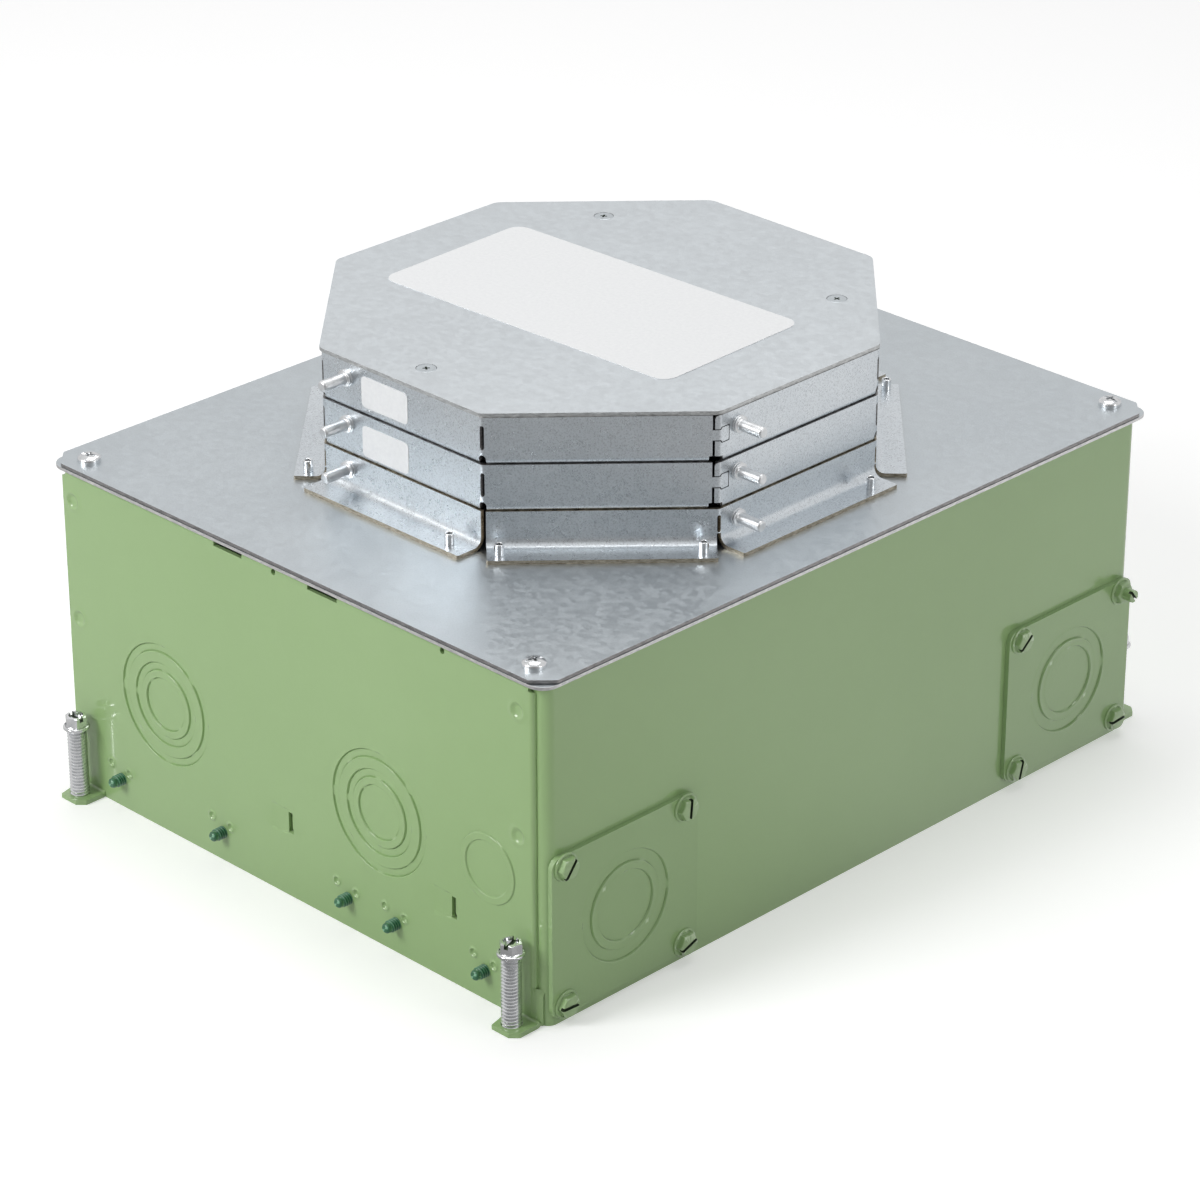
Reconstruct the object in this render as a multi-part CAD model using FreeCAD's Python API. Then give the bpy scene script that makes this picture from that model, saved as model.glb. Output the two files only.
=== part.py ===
import FreeCAD, Part
import math
import os

# Floor socket box with a stack of octagonal pour collars. Units are millimetres, +Z is up,
# the box stands on z = 0 and its plan centre is the origin. The short ends face -Y and +Y.

V = FreeCAD.Vector

# ---- box ----
box_width = 265.0             # across the two long sides
box_length = 330.0            # over both end panels
box_height = 139.0
sheet = 1.6                   # box, lid and collar steel
corner_radius = 4.0           # outside bend of a long side into its end flange
end_flange_width = 22.0       # strip the end panel is welded to
floor_lip_height = 12.0
side_return_width = 12.0      # inward lip along the top of a long side
top_gap = 1.0                 # room between neighbouring sheet edges

# ---- end panels ----
panel_seam_inset = 5.0        # seam, in from the long side
panel_corner_inset = 1.3      # the other vertical edge of the panel
seam_foot = 15.0              # the seam is welded shut below this height
panel_return_width = 16.0     # lip folded in under the lid
panel_bend_radius = 3.0
press_depth = 0.5             # how far a knockout ring is pressed in
double_knockouts_x = (-75.1, 46.2)
double_knockout_rings = (50.4, 44.0, 34.9, 28.2, 22.2)
single_knockout_x = 104.0
single_knockout_rings = (28.2, 22.2)
knockout_height = 56.0
top_notches_x = (-34.2, 18.2)
top_notch_width = 16.0
top_notch_depth = 3.8
eyelets_x = (-8.6, 81.9)
eyelet_diameter = 2.8
eyelet_drop = 3.5
lance_slots_x = (-4.0, 85.5)
lance_slot_width = 1.8
lance_slot_bottom = 28.3
lance_slot_height = 7.9
lance_pad_length = 10.0
weld_spots_x = (-126.4, 120.6)
weld_spots_z = (126.0, 75.6)
weld_spot_diameter = 5.5
weld_spot_depth = 0.4

# ---- ground screws ----
ground_screws_x = (-104.0, -43.5, 28.0, 54.5, 102.0)
ground_screw_height = 12.5
ground_screw_diameter = 4.8
ground_screw_reach = 6.2      # outside the panel
ground_screw_tail = 3.0       # inside the end flange
screw_clearance = 0.05        # radial, every screw in its hole

# ---- levelling feet ----
foot_x = 122.7                # screw axis, out from the centre plane
foot_screw_offset = 7.3       # screw axis, out from the end panel
foot_tab_width = 14.7
foot_tab_reach = 13.2
foot_tab_thickness = 2.0
foot_tab_chamfer = 3.0
foot_back_width = 20.0
foot_back_height = 39.0
foot_back_thickness = 1.2
level_screw_diameter = 7.8
level_screw_length = 31.0     # under the head
hex_flats = 8.0
hex_height = 4.3
washer_diameter = 11.0
washer_thickness = 1.2
slot_width = 1.3
slot_depth = 1.5

# ---- side knockout plates ----
plate_length = 75.0
plate_height = 66.5
plate_corner_radius = 4.5
plate_thickness = 2.0
plate_end_gap = 1.9           # plate edge, in from the end panel's face
plate_centre_z = 36.75
plate_rings = (44.0, 34.9, 28.2)
plate_screw_dy = 30.7
plate_screw_dz = 28.5
plate_screw_diameter = 4.8
plate_screw_length = 7.0
plate_screw_washer = 11.6
window_length = 56.0          # opening behind a plate
window_height = 50.0

# ---- partitions ----
partition_thickness = 1.2
partition_height = 96.0
partition_foot_width = 10.0
partition_tab_width = 12.0

# ---- lid plates ----
lid_overhang = 3.2
lid_thickness = 1.5
upper_lid_chamfer = 7.5
lower_lid_radius = 7.0
lid_screw_inset_x = 10.5       # in from the box's long side
lid_screw_inset_y = 6.0        # in from the end panel's face
lid_screw_diameter = 4.8
lid_screw_length = 9.0
lid_screw_head_diameter = 9.2
lid_screw_head_height = 3.0
lid_hole_clearance = 0.4      # radial, screw in the two lid plates
throat_margin = 3.0           # lid edge, in from the collar wall's outside

# ---- collar ----
collar_centre_x = -0.8        # the collar stands a little off centre
collar_centre_y = -1.2
collar_half_x = 103.3         # outside of the walls that face +X and -X
collar_half_y = 106.3
collar_half_edge = 43.3       # half of each axis-aligned wall
base_ring_height = 15.8
ring_height = 18.8
collar_flange_width = 12.0
relief_slot_width = 2.0
relief_slot_height = 9.6
base_slot_height = 7.0
base_slot_drop = 2.5           # below the top of the base ring
ring_lip_width = 7.0
ring_tab_width = 14.0
ring_tab_depth = 6.0
ring_tab_gap = 0.4
set_screw_diameter = 3.8
set_screw_height = 4.6
set_screw_inset = 10.5        # in from the end of an axis-aligned flange
corner_screw_inset = 6.0      # in from the end of a diagonal flange
set_screw_offset = 6.9        # out from the wall
set_screw_bore = 2.2
set_screw_bore_depth = 2.6
stud_diameter = 4.5
stud_length = 12.8
stud_collar_diameter = 7.0
stud_collar_thickness = 1.6
stud_x = 29.4                 # studs on the walls that face +Y and -Y
stud_y = 33.7                 # studs on the walls that face +X and -X
stud_drop = 6.2               # below the top of the ring

# ---- pour cover ----
cover_overhang = 0.7
cover_shift_x = -1.0          # the cover lies loosely, a little off the collar's centre
cover_shift_y = 0.6
cover_thickness = 1.6
cover_corner_radius = 6.0
cover_screws_xy = ((-64.2, 63.0), (60.5, 64.7), (-2.4, -92.7))
cover_screw_head_diameter = 9.0
cover_screw_diameter = 4.8
cover_screw_length = 7.0
cover_screw_recess = 4.0
cover_lug_width = 16.0
cover_lug_length = 36.0
label_length = 148.5
label_width = 76.5
label_centre = (-5.8, -3.8)
label_turn = 2.0              # degrees, stuck on by hand
label_thickness = 0.2
label_radius = 6.0
ring_label_length = 25.2
ring_label_height = 12.6
ring_label_x = -9.4
lower_label_drop = 1.0         # below the middle of the ring
upper_label_drop = -0.4

# ---- derived ----
half_w = box_width / 2
half_l = box_length / 2
inner_half_w = half_w - sheet
panel_back = half_l - sheet           # where the end panel meets the end flanges
flange_back = panel_back - sheet
lid_bottom = box_height
lid_middle = lid_bottom + lid_thickness
lid_top = lid_middle + lid_thickness
base_top = lid_top + base_ring_height
lid_screw_x = half_w - lid_screw_inset_x
lid_screw_y = half_l - lid_screw_inset_y
lower_ring_top = base_top + ring_height
upper_ring_top = lower_ring_top + ring_height
cover_top = upper_ring_top + cover_thickness
foot_y = half_l + foot_screw_offset
plate_centre_y = half_l - plate_end_gap - plate_length / 2
head_height = washer_thickness + hex_height


def save(node, *solids):
    shape = solids[0] if len(solids) == 1 else Part.makeCompound(list(solids))
    shape.exportStep("parts/" + node + ".step")


def block(x0, x1, y0, y1, z0, z1):
    return Part.makeBox(x1 - x0, y1 - y0, z1 - z0, V(x0, y0, z0))


def rod(diameter, start, end):
    way = end - start
    return Part.makeCylinder(diameter / 2, way.Length, start, way)


def join(shapes):
    whole = shapes[0]
    for shape in shapes[1:]:
        whole = whole.fuse(shape)
    return whole.removeSplitter()


def cut_all(shape, tools):
    for tool in tools:
        shape = shape.cut(tool)
    return shape


def prism(points, z0, z1):
    face = Part.Face(Part.makePolygon([V(x, y, z0) for x, y in points + points[:1]]))
    return face.extrude(V(0, 0, z1 - z0))


def upright_edges(shape):
    found = []
    for edge in shape.Edges:
        ends = [v.Point for v in edge.Vertexes]
        if len(ends) != 2:
            continue
        if abs(ends[0].x - ends[1].x) > 1e-6 or abs(ends[0].y - ends[1].y) > 1e-6:
            continue
        found.append(edge)
    return found


def annulus(outer, inner, centre, axis, depth):
    """Ring-shaped or round tool, depth long, starting at centre and running along axis."""
    tool = Part.makeCylinder(outer / 2, depth, centre, axis)
    if inner:
        tool = tool.cut(Part.makeCylinder(inner / 2, depth, centre, axis))
    return tool


def pressed_rings(diameters, centre, inward):
    """Every other ring is pressed in, starting with the outermost; the middle disc goes last."""
    tools = []
    for k in range(0, len(diameters), 2):
        inner = diameters[k + 1] if k + 1 < len(diameters) else 0.0
        tools.append(annulus(diameters[k], inner, centre, inward, press_depth))
    return tools


def hex_prism(flats, base, axis, height):
    """Hexagonal prism standing on base along axis."""
    reach = flats / math.sqrt(3)
    points = []
    for k in range(7):
        angle = math.radians(60 * k)
        points.append(V(reach * math.cos(angle), reach * math.sin(angle), 0))
    prism_shape = Part.Face(Part.makePolygon(points)).extrude(V(0, 0, height))
    turn = FreeCAD.Rotation(V(0, 0, 1), axis)
    prism_shape.Placement = FreeCAD.Placement(base, turn)
    return prism_shape


def hex_head_screw(base, axis, diameter, length, washer):
    """Screw whose washer stands on base; the head points along axis, the shank against it."""
    lift = axis * washer_thickness
    top = base + axis * head_height
    shank = rod(diameter, base - axis * length, base)
    disc = rod(washer, base, base + lift)
    head = hex_prism(hex_flats, base + lift, axis, hex_height)
    side = axis.cross(V(0, 0, 1)) if abs(axis.z) < 0.5 else V(1, 0, 0)
    slot = Part.makeBox(2 * washer, slot_width, slot_depth, V(-washer, -slot_width / 2, 0))
    slot.Placement = FreeCAD.Placement(top - axis * slot_depth, FreeCAD.Rotation(side, V(), axis, "ZXY"))
    return join([shank, disc, head]).cut(slot)


# ---- body channel: floor, long sides and end flanges ----
outer = block(-half_w, half_w, -panel_back, panel_back, 0, box_height)
outer = outer.makeFillet(corner_radius, upright_edges(outer))
inner = block(-inner_half_w, inner_half_w, -flange_back, flange_back, sheet, box_height + 1)
inner = inner.makeFillet(corner_radius - sheet, upright_edges(inner))
channel = outer.cut(inner)
mouth = half_w - end_flange_width
channel = channel.cut(block(-mouth, mouth, -half_l, half_l, floor_lip_height, box_height + 1))
notch = half_w - panel_seam_inset + 1.0
return_bottom = box_height - sheet
for end in (-1, 1):
    low, high = sorted((end * half_l, end * (half_l - panel_return_width - top_gap)))
    channel = channel.cut(block(-notch, notch, low, high, return_bottom - top_gap, box_height + 1))
run = half_l - panel_return_width - top_gap
for side in (-1, 1):
    low, high = sorted((side * inner_half_w, side * (inner_half_w - side_return_width)))
    channel = channel.fuse(block(low, high, -run, run, return_bottom, box_height))
channel = channel.removeSplitter()
for side in (-1, 1):
    for end in (-1, 1):
        low, high = sorted((side * (half_w + 1), side * (inner_half_w - 1)))
        y_mid = end * plate_centre_y
        window = block(low, high, y_mid - window_length / 2, y_mid + window_length / 2,
                       plate_centre_z - window_height / 2, plate_centre_z + window_height / 2)
        channel = channel.cut(window)
        for dy in (-plate_screw_dy, plate_screw_dy):
            for dz in (-plate_screw_dz, plate_screw_dz):
                hole = rod(plate_screw_diameter + 2 * screw_clearance,
                           V(low, y_mid + dy, plate_centre_z + dz),
                           V(high, y_mid + dy, plate_centre_z + dz))
                channel = channel.cut(hole)
for end in (-1, 1):
    for x in ground_screws_x:
        hole = rod(ground_screw_diameter + 2 * screw_clearance,
                   V(x, end * (flange_back - 1), ground_screw_height),
                   V(x, end * (panel_back + 1), ground_screw_height))
        channel = channel.cut(hole)
save("body_channel", channel)

# ---- end panels ----
seam_x = half_w - panel_seam_inset
panel_low_x = -(half_w - panel_corner_inset)


def end_panel(end):
    """Panel in front of the end flanges; end is -1 for the end that faces -Y, +1 for the other."""
    face_y = end * half_l
    inward = V(0, -end, 0)
    low, high = sorted((face_y, end * panel_back))
    panel = block(panel_low_x, seam_x, low, high, 0, box_height)
    panel = panel.fuse(block(seam_x, half_w - panel_corner_inset, low, high, 0, seam_foot))
    back, front = sorted((end * (half_l - panel_return_width), face_y))
    lip = block(-inner_half_w + sheet, seam_x - sheet, back, front, return_bottom, box_height)
    panel = panel.fuse(lip).removeSplitter()
    bend = []
    for edge in panel.Edges:
        centre = edge.CenterOfMass
        if abs(centre.z - box_height) < 1e-6 and abs(centre.y - face_y) < 1e-6 and edge.Length > half_w:
            bend.append(edge)
    panel = panel.makeFillet(panel_bend_radius - sheet, bend)
    tools = []
    for x in double_knockouts_x:
        tools += pressed_rings(double_knockout_rings, V(x, face_y, knockout_height), inward)
    for x in top_notches_x:
        tools.append(block(x - top_notch_width / 2, x + top_notch_width / 2,
                           min(low, back), max(high, front), box_height - top_notch_depth, box_height))
    for x in eyelets_x:
        z = box_height - eyelet_drop
        tools.append(rod(eyelet_diameter, V(x, face_y, z), V(x, end * panel_back, z)))
    for x in lance_slots_x:
        z = lance_slot_bottom
        tools.append(block(x - lance_slot_width / 2, x + lance_slot_width / 2, low, high,
                           z, z + lance_slot_height))
        pad_low, pad_high = sorted((face_y, face_y - end * press_depth))
        tools.append(block(x - lance_slot_width / 2 - lance_pad_length, x, pad_low, pad_high,
                           z, z + lance_slot_height))
    for x in weld_spots_x:
        for z in weld_spots_z:
            tools.append(annulus(weld_spot_diameter, 0, V(x, face_y, z), inward, weld_spot_depth))
    for x in ground_screws_x:
        tools.append(rod(ground_screw_diameter + 2 * screw_clearance,
                         V(x, low, ground_screw_height), V(x, high, ground_screw_height)))
    for x in (-lid_screw_x, lid_screw_x):
        tools.append(rod(lid_screw_diameter + 2 * screw_clearance,
                         V(x, end * lid_screw_y, return_bottom), V(x, end * lid_screw_y, box_height)))
    panel = cut_all(panel, tools)
    boss = annulus(single_knockout_rings[0], single_knockout_rings[1],
                   V(single_knockout_x, face_y, knockout_height), V(0, end, 0), press_depth)
    return panel.fuse(boss).removeSplitter()


save("front_end_panel", end_panel(-1))
save("rear_end_panel", end_panel(1))

# ---- ground screws ----
for end, node in ((-1, "front_ground_screws"), (1, "rear_ground_screws")):
    screws = []
    for x in ground_screws_x:
        screws.append(rod(ground_screw_diameter,
                          V(x, end * (flange_back - ground_screw_tail), ground_screw_height),
                          V(x, end * (half_l + ground_screw_reach), ground_screw_height)))
    save(node, *screws)

# ---- levelling feet and their screws ----


def foot_bracket(side, end):
    x = side * foot_x
    near, far = sorted((end * half_l, end * (half_l + foot_tab_reach)))
    tab = block(x - foot_tab_width / 2, x + foot_tab_width / 2, near, far, 0, foot_tab_thickness)
    outer_edges = []
    for edge in upright_edges(tab):
        if abs(edge.CenterOfMass.y - end * (half_l + foot_tab_reach)) < 1e-6:
            outer_edges.append(edge)
    tab = tab.makeChamfer(foot_tab_chamfer, outer_edges)
    near, far = sorted((end * half_l, end * (half_l + foot_back_thickness)))
    outer_x = x + side * foot_tab_width / 2
    low, high = sorted((outer_x, outer_x - side * foot_back_width))
    back = block(low, high, near, far, 0, foot_back_height)
    hole = rod(level_screw_diameter + 2 * screw_clearance,
               V(x, end * foot_y, 0), V(x, end * foot_y, foot_tab_thickness))
    return join([tab, back]).cut(hole)


corners = (("front_left", -1, -1), ("front_right", 1, -1), ("rear_left", -1, 1), ("rear_right", 1, 1))
for name, side, end in corners:
    save("foot_bracket_" + name, foot_bracket(side, end))
    save("levelling_screw_" + name,
         hex_head_screw(V(side * foot_x, end * foot_y, level_screw_length), V(0, 0, 1),
                        level_screw_diameter, level_screw_length, washer_diameter))

# ---- side knockout plates ----


def side_plate(side, end):
    face_x = side * (half_w + plate_thickness)
    low, high = sorted((side * half_w, face_x))
    y_mid = end * plate_centre_y
    plate = block(low, high, y_mid - plate_length / 2, y_mid + plate_length / 2,
                  plate_centre_z - plate_height / 2, plate_centre_z + plate_height / 2)
    across = [e for e in plate.Edges if abs(abs(e.BoundBox.XLength) - plate_thickness) < 1e-6]
    plate = plate.makeFillet(plate_corner_radius, across)
    tools = pressed_rings(plate_rings, V(face_x, y_mid, plate_centre_z), V(-side, 0, 0))
    for y, z in plate_screw_places(y_mid):
        tools.append(rod(plate_screw_diameter + 2 * screw_clearance, V(low, y, z), V(high, y, z)))
    return cut_all(plate, tools)


def plate_screw_places(y_mid):
    return [(y_mid + dy, plate_centre_z + dz)
            for dy in (-plate_screw_dy, plate_screw_dy) for dz in (-plate_screw_dz, plate_screw_dz)]


for name, side, end in corners:
    save("knockout_plate_" + name, side_plate(side, end))
    screws = []
    for y, z in plate_screw_places(end * plate_centre_y):
        screws.append(hex_head_screw(V(side * (half_w + plate_thickness), y, z), V(side, 0, 0),
                                     plate_screw_diameter, plate_screw_length, plate_screw_washer))
    save("plate_screws_" + name, *screws)

# ---- partitions ----
for x, node in ((lance_slots_x[0], "left_partition"), (lance_slots_x[1], "right_partition")):
    web = block(x - partition_thickness / 2, x + partition_thickness / 2, -flange_back, flange_back,
                sheet, sheet + partition_height)
    foot = block(x - partition_thickness / 2, x + partition_foot_width, -flange_back, flange_back,
                 sheet, sheet + partition_thickness)
    pieces = [web, foot]
    for end in (-1, 1):
        low, high = sorted((end * flange_back, end * (flange_back - partition_thickness)))
        pieces.append(block(x - partition_thickness / 2, x + partition_tab_width, low, high,
                            sheet, sheet + partition_height))
    save(node, join(pieces))

# ---- collar outline ----


def octagon(outset):
    """Corner points of the collar's outline, moved out from the wall's outside by outset."""
    slant = math.atan2(collar_half_y - collar_half_edge, collar_half_x - collar_half_edge)
    grow_x = outset * math.tan((math.pi / 2 - slant) / 2)
    grow_y = outset * math.tan(slant / 2)
    x0, x1 = collar_half_edge + grow_x, collar_half_x + outset
    y0, y1 = collar_half_edge + grow_y, collar_half_y + outset
    corners = [(x0, -y1), (x1, -y0), (x1, y0), (x0, y1), (-x0, y1), (-x1, y0), (-x1, -y0), (-x0, -y1)]
    return [(collar_centre_x + x, collar_centre_y + y) for x, y in corners]


def octagon_prism(outset, z0, z1):
    return prism(octagon(outset), z0, z1)


def sides():
    """Each wall as its start, its direction and its outward normal, walking counterclockwise."""
    points = octagon(0)
    walls = []
    for k in range(8):
        (x0, y0), (x1, y1) = points[k - 1], points[k]
        length = math.hypot(x1 - x0, y1 - y0)
        along = V((x1 - x0) / length, (y1 - y0) / length, 0)
        walls.append((V(x0, y0, 0), along, V(along.y, -along.x, 0), length))
    return walls


def wall_block(wall, a0, a1, n0, n1, z0, z1):
    """Block in a wall's own frame: a runs along the wall, n out from its outside face, z up."""
    start, along, normal, length = wall
    corners_of_base = []
    for a, n in ((a0, n0), (a1, n0), (a1, n1), (a0, n1)):
        point = start + along * a + normal * n
        corners_of_base.append((point.x, point.y))
    return prism(corners_of_base, z0, z1)


def is_diagonal(wall):
    return abs(wall[2].x * wall[2].y) > 0.1


# ---- lid plates ----
lid_half_w = half_w + lid_overhang
lid_half_l = half_l + lid_overhang
throat = octagon_prism(-throat_margin, lid_bottom, lid_top)
lid_screw_places = [(x, y) for x in (-lid_screw_x, lid_screw_x) for y in (-lid_screw_y, lid_screw_y)]
lid_holes = []
for x, y in lid_screw_places:
    lid_holes.append(rod(lid_screw_diameter + 2 * lid_hole_clearance, V(x, y, lid_bottom), V(x, y, lid_top)))
lower_lid = block(-lid_half_w, lid_half_w, -lid_half_l, lid_half_l, lid_bottom, lid_middle)
lower_lid = lower_lid.makeFillet(lower_lid_radius, upright_edges(lower_lid))
upper_lid = block(-lid_half_w, lid_half_w, -lid_half_l, lid_half_l, lid_middle, lid_top)
upper_lid = upper_lid.makeChamfer(upper_lid_chamfer, upright_edges(upper_lid))
save("lower_lid_plate", cut_all(lower_lid, [throat] + lid_holes))
save("upper_lid_plate", cut_all(upper_lid, [throat] + lid_holes))


def round_head_screw(x, y, z, diameter, length, head_diameter, head_height):
    """Pan head standing on z, shank below it, one slot across."""
    head = Part.makeCylinder(head_diameter / 2, head_height, V(x, y, z))
    top = [e for e in head.Edges if abs(e.CenterOfMass.z - z - head_height) < 1e-6 and len(e.Vertexes) == 1]
    head = head.makeFillet(head_height * 0.4, top)
    slot = block(x - head_diameter, x + head_diameter, y - slot_width / 2, y + slot_width / 2,
                 z + head_height - slot_depth, z + head_height)
    return join([rod(diameter, V(x, y, z - length), V(x, y, z)), head]).cut(slot)


screws = []
for x, y in lid_screw_places:
    screws.append(round_head_screw(x, y, lid_top, lid_screw_diameter, lid_screw_length,
                                   lid_screw_head_diameter, lid_screw_head_height))
save("lid_screws", *screws)

# ---- collar base ring ----
base_ring = octagon_prism(0, lid_top, base_top)
pieces = [base_ring]
for wall in sides():
    pieces.append(wall_block(wall, 0, wall[3], 0, collar_flange_width, lid_top, lid_top + sheet))
base_ring = join(pieces).cut(octagon_prism(-sheet, lid_top, base_top))


def relief_slots(z_low, z_high):
    """Slots at the eight upright bends of a ring."""
    return [rod(relief_slot_width, V(x, y, z_low), V(x, y, z_high)) for x, y in octagon(-sheet / 2)]


def stud_places(ring_top):
    """Root of each wall stud on the wall's outside, with the outward direction."""
    z = ring_top - stud_drop
    middle = V(collar_centre_x, collar_centre_y, z)
    return [(middle + V(-stud_x, -collar_half_y, 0), V(0, -1, 0)),
            (middle + V(stud_x, collar_half_y, 0), V(0, 1, 0)),
            (middle + V(collar_half_x, -stud_y, 0), V(1, 0, 0)),
            (middle + V(-collar_half_x, stud_y, 0), V(-1, 0, 0))]


def studs(ring_top):
    solids = []
    for root, out in stud_places(ring_top):
        pin = rod(stud_diameter, root, root + out * stud_length)
        ring = rod(stud_collar_diameter, root, root + out * stud_collar_thickness)
        solids.append(join([pin, ring]))
    return solids


slot_low = base_top - base_slot_drop - base_slot_height
base_ring = cut_all(base_ring, relief_slots(slot_low, slot_low + base_slot_height))
save("collar_base_ring", base_ring)
save("base_ring_studs", *studs(base_top))

screws = []
for wall in sides():
    start, along, normal, length = wall
    inset = corner_screw_inset if is_diagonal(wall) else set_screw_inset
    spots = [length - inset]
    if normal.x > 0 > normal.y:      # the diagonal towards +X and -Y has two
        spots.append(inset)
    for a in spots:
        foot = start + along * a + normal * set_screw_offset + V(0, 0, lid_top + sheet)
        top = foot + V(0, 0, set_screw_height)
        screws.append(rod(set_screw_diameter, foot, top)
                      .cut(rod(set_screw_bore, top - V(0, 0, set_screw_bore_depth), top)))
save("collar_set_screws", *screws)

# ---- extension rings ----


def extension_ring(z0):
    """Wall strip with an inward lip that sits on the ring below, and tabs that reach down inside it."""
    z1 = z0 + ring_height
    ring = octagon_prism(0, z0, z1).cut(octagon_prism(-sheet, z0 + sheet, z1))
    ring = ring.cut(octagon_prism(-ring_lip_width, z0, z0 + sheet))
    pieces = [ring]
    for wall in sides():
        if is_diagonal(wall):
            continue
        middle = wall[3] / 2
        inside = -sheet - ring_tab_gap
        pieces.append(wall_block(wall, middle - ring_tab_width / 2, middle + ring_tab_width / 2,
                                 inside - sheet, inside, z0 - ring_tab_depth, z0))
    low = z0 + (ring_height - relief_slot_height) / 2 + sheet / 2
    return cut_all(join(pieces), relief_slots(low, low + relief_slot_height))


lower_ring = extension_ring(base_top)
upper_ring = extension_ring(lower_ring_top)
save("lower_extension_ring", lower_ring)
save("lower_ring_studs", *studs(lower_ring_top))

# ---- pour cover on the upper ring ----
lug_bottom = upper_ring_top - sheet
pieces = [upper_ring]
for wall in sides():
    start, along, normal, length = wall
    for x, y in cover_screws_xy:
        offset = V(x, y, 0) - start
        inside = -offset.dot(normal)
        if inside < 0 or inside > cover_lug_length or not 0 < offset.dot(along) < length:
            continue
        a = offset.dot(along)
        pieces.append(wall_block(wall, a - cover_lug_width / 2, a + cover_lug_width / 2,
                                 -inside - cover_screw_head_diameter, -sheet / 2, lug_bottom, upper_ring_top))
upper_ring = join(pieces)
for x, y in cover_screws_xy:
    upper_ring = upper_ring.cut(rod(cover_screw_diameter + 2 * screw_clearance,
                                    V(x, y, lug_bottom - sheet), V(x, y, upper_ring_top)))
save("upper_extension_ring", upper_ring)
save("upper_ring_studs", *studs(upper_ring_top))

cover = octagon_prism(cover_overhang, upper_ring_top, cover_top)
cover.translate(V(cover_shift_x, cover_shift_y, 0))
cover = cover.makeFillet(cover_corner_radius, upright_edges(cover))
screws = []
for x, y in cover_screws_xy:
    wide = cover_screw_head_diameter / 2
    narrow = cover_screw_diameter / 2
    cone = Part.makeCone(narrow, wide, cover_thickness, V(x, y, upper_ring_top))
    seat = Part.makeCone(narrow + screw_clearance, wide + screw_clearance, cover_thickness,
                         V(x, y, upper_ring_top))
    cover = cover.cut(seat)
    shank = rod(cover_screw_diameter, V(x, y, upper_ring_top - cover_screw_length), V(x, y, upper_ring_top))
    screw = join([cone, shank])
    for across, along_y in ((cover_screw_recess, slot_width), (slot_width, cover_screw_recess)):
        screw = screw.cut(block(x - across / 2, x + across / 2, y - along_y / 2, y + along_y / 2,
                                cover_top - slot_depth / 2, cover_top))
    screws.append(screw)
save("pour_cover", cover)
save("cover_screws", *screws)

# ---- bare labels ----
x, y = label_centre
label = block(x - label_length / 2, x + label_length / 2, y - label_width / 2, y + label_width / 2,
              cover_top, cover_top + label_thickness)
label = label.makeFillet(label_radius, upright_edges(label))
label.rotate(V(x, y, 0), V(0, 0, 1), label_turn)
save("cover_label", label)
for node, z, drop in (("lower_ring_label", base_top, lower_label_drop),
                      ("upper_ring_label", lower_ring_top, upper_label_drop)):
    z_mid = z + ring_height / 2 - drop
    wall_y = collar_centre_y - collar_half_y
    save(node, block(ring_label_x - ring_label_length / 2, ring_label_x + ring_label_length / 2,
                     wall_y - label_thickness, wall_y,
                     z_mid - ring_label_height / 2, z_mid + ring_label_height / 2))
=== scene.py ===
# %% [markdown]
# # A floor socket box
# A steel box that is cast into a concrete floor. Wiring enters through the knockouts in its walls,
# two galvanised plates close the top, and an octagonal collar keeps the concrete away from the hole
# where the sockets will sit. Every cell below makes one piece the way a sheet-metal shop would:
# cut a blank, punch it, press it, fold it, and only then give it its thickness.

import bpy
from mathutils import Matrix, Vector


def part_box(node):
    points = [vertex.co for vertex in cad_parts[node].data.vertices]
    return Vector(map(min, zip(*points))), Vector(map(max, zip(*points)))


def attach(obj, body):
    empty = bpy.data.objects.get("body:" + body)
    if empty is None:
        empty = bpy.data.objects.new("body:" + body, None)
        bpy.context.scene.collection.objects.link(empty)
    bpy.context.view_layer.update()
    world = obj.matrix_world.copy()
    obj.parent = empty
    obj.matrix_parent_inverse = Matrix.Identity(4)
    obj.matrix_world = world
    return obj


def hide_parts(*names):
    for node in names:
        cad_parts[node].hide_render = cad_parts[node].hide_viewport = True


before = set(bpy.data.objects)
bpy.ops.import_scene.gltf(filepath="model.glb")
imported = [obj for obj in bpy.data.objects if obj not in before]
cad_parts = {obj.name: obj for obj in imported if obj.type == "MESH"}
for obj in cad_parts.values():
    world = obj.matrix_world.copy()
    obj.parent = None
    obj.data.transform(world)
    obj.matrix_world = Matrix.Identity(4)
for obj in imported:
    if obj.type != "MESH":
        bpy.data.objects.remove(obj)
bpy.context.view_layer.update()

# %% [markdown]
# ## Units and corners
# Sheet metal is drawn in millimetres, so the meshes are built in millimetres and scaled once, when
# they are set down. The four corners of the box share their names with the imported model.

# %% Units
import math

import bmesh
import bpy
from mathutils import Matrix, Vector

MM = 0.001
TURN = 2 * math.pi
CORNERS = (("front_left", -1, -1), ("front_right", 1, -1), ("rear_left", -1, 1), ("rear_right", 1, 1))


def span(node):
    """A node's lowest and highest corner at rest, in millimetres."""
    low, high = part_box(node)
    return low / MM, high / MM


body_high = span("body_channel")[1]
half_width = body_high.x
half_length = -span("front_end_panel")[0].y
box_height = body_high.z
lid_top = span("upper_lid_plate")[1].z
SHEET = 1.6          # thickness of the panels and of the collar
print("half width", round(half_width, 2), "half length", round(half_length, 2))
print("box height", round(box_height, 2), "lid top", round(lid_top, 2))

# %% [markdown]
# ## Camera
# A long lens from a little above one corner keeps the upright edges nearly parallel, as in a
# catalogue picture of a box.

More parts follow.
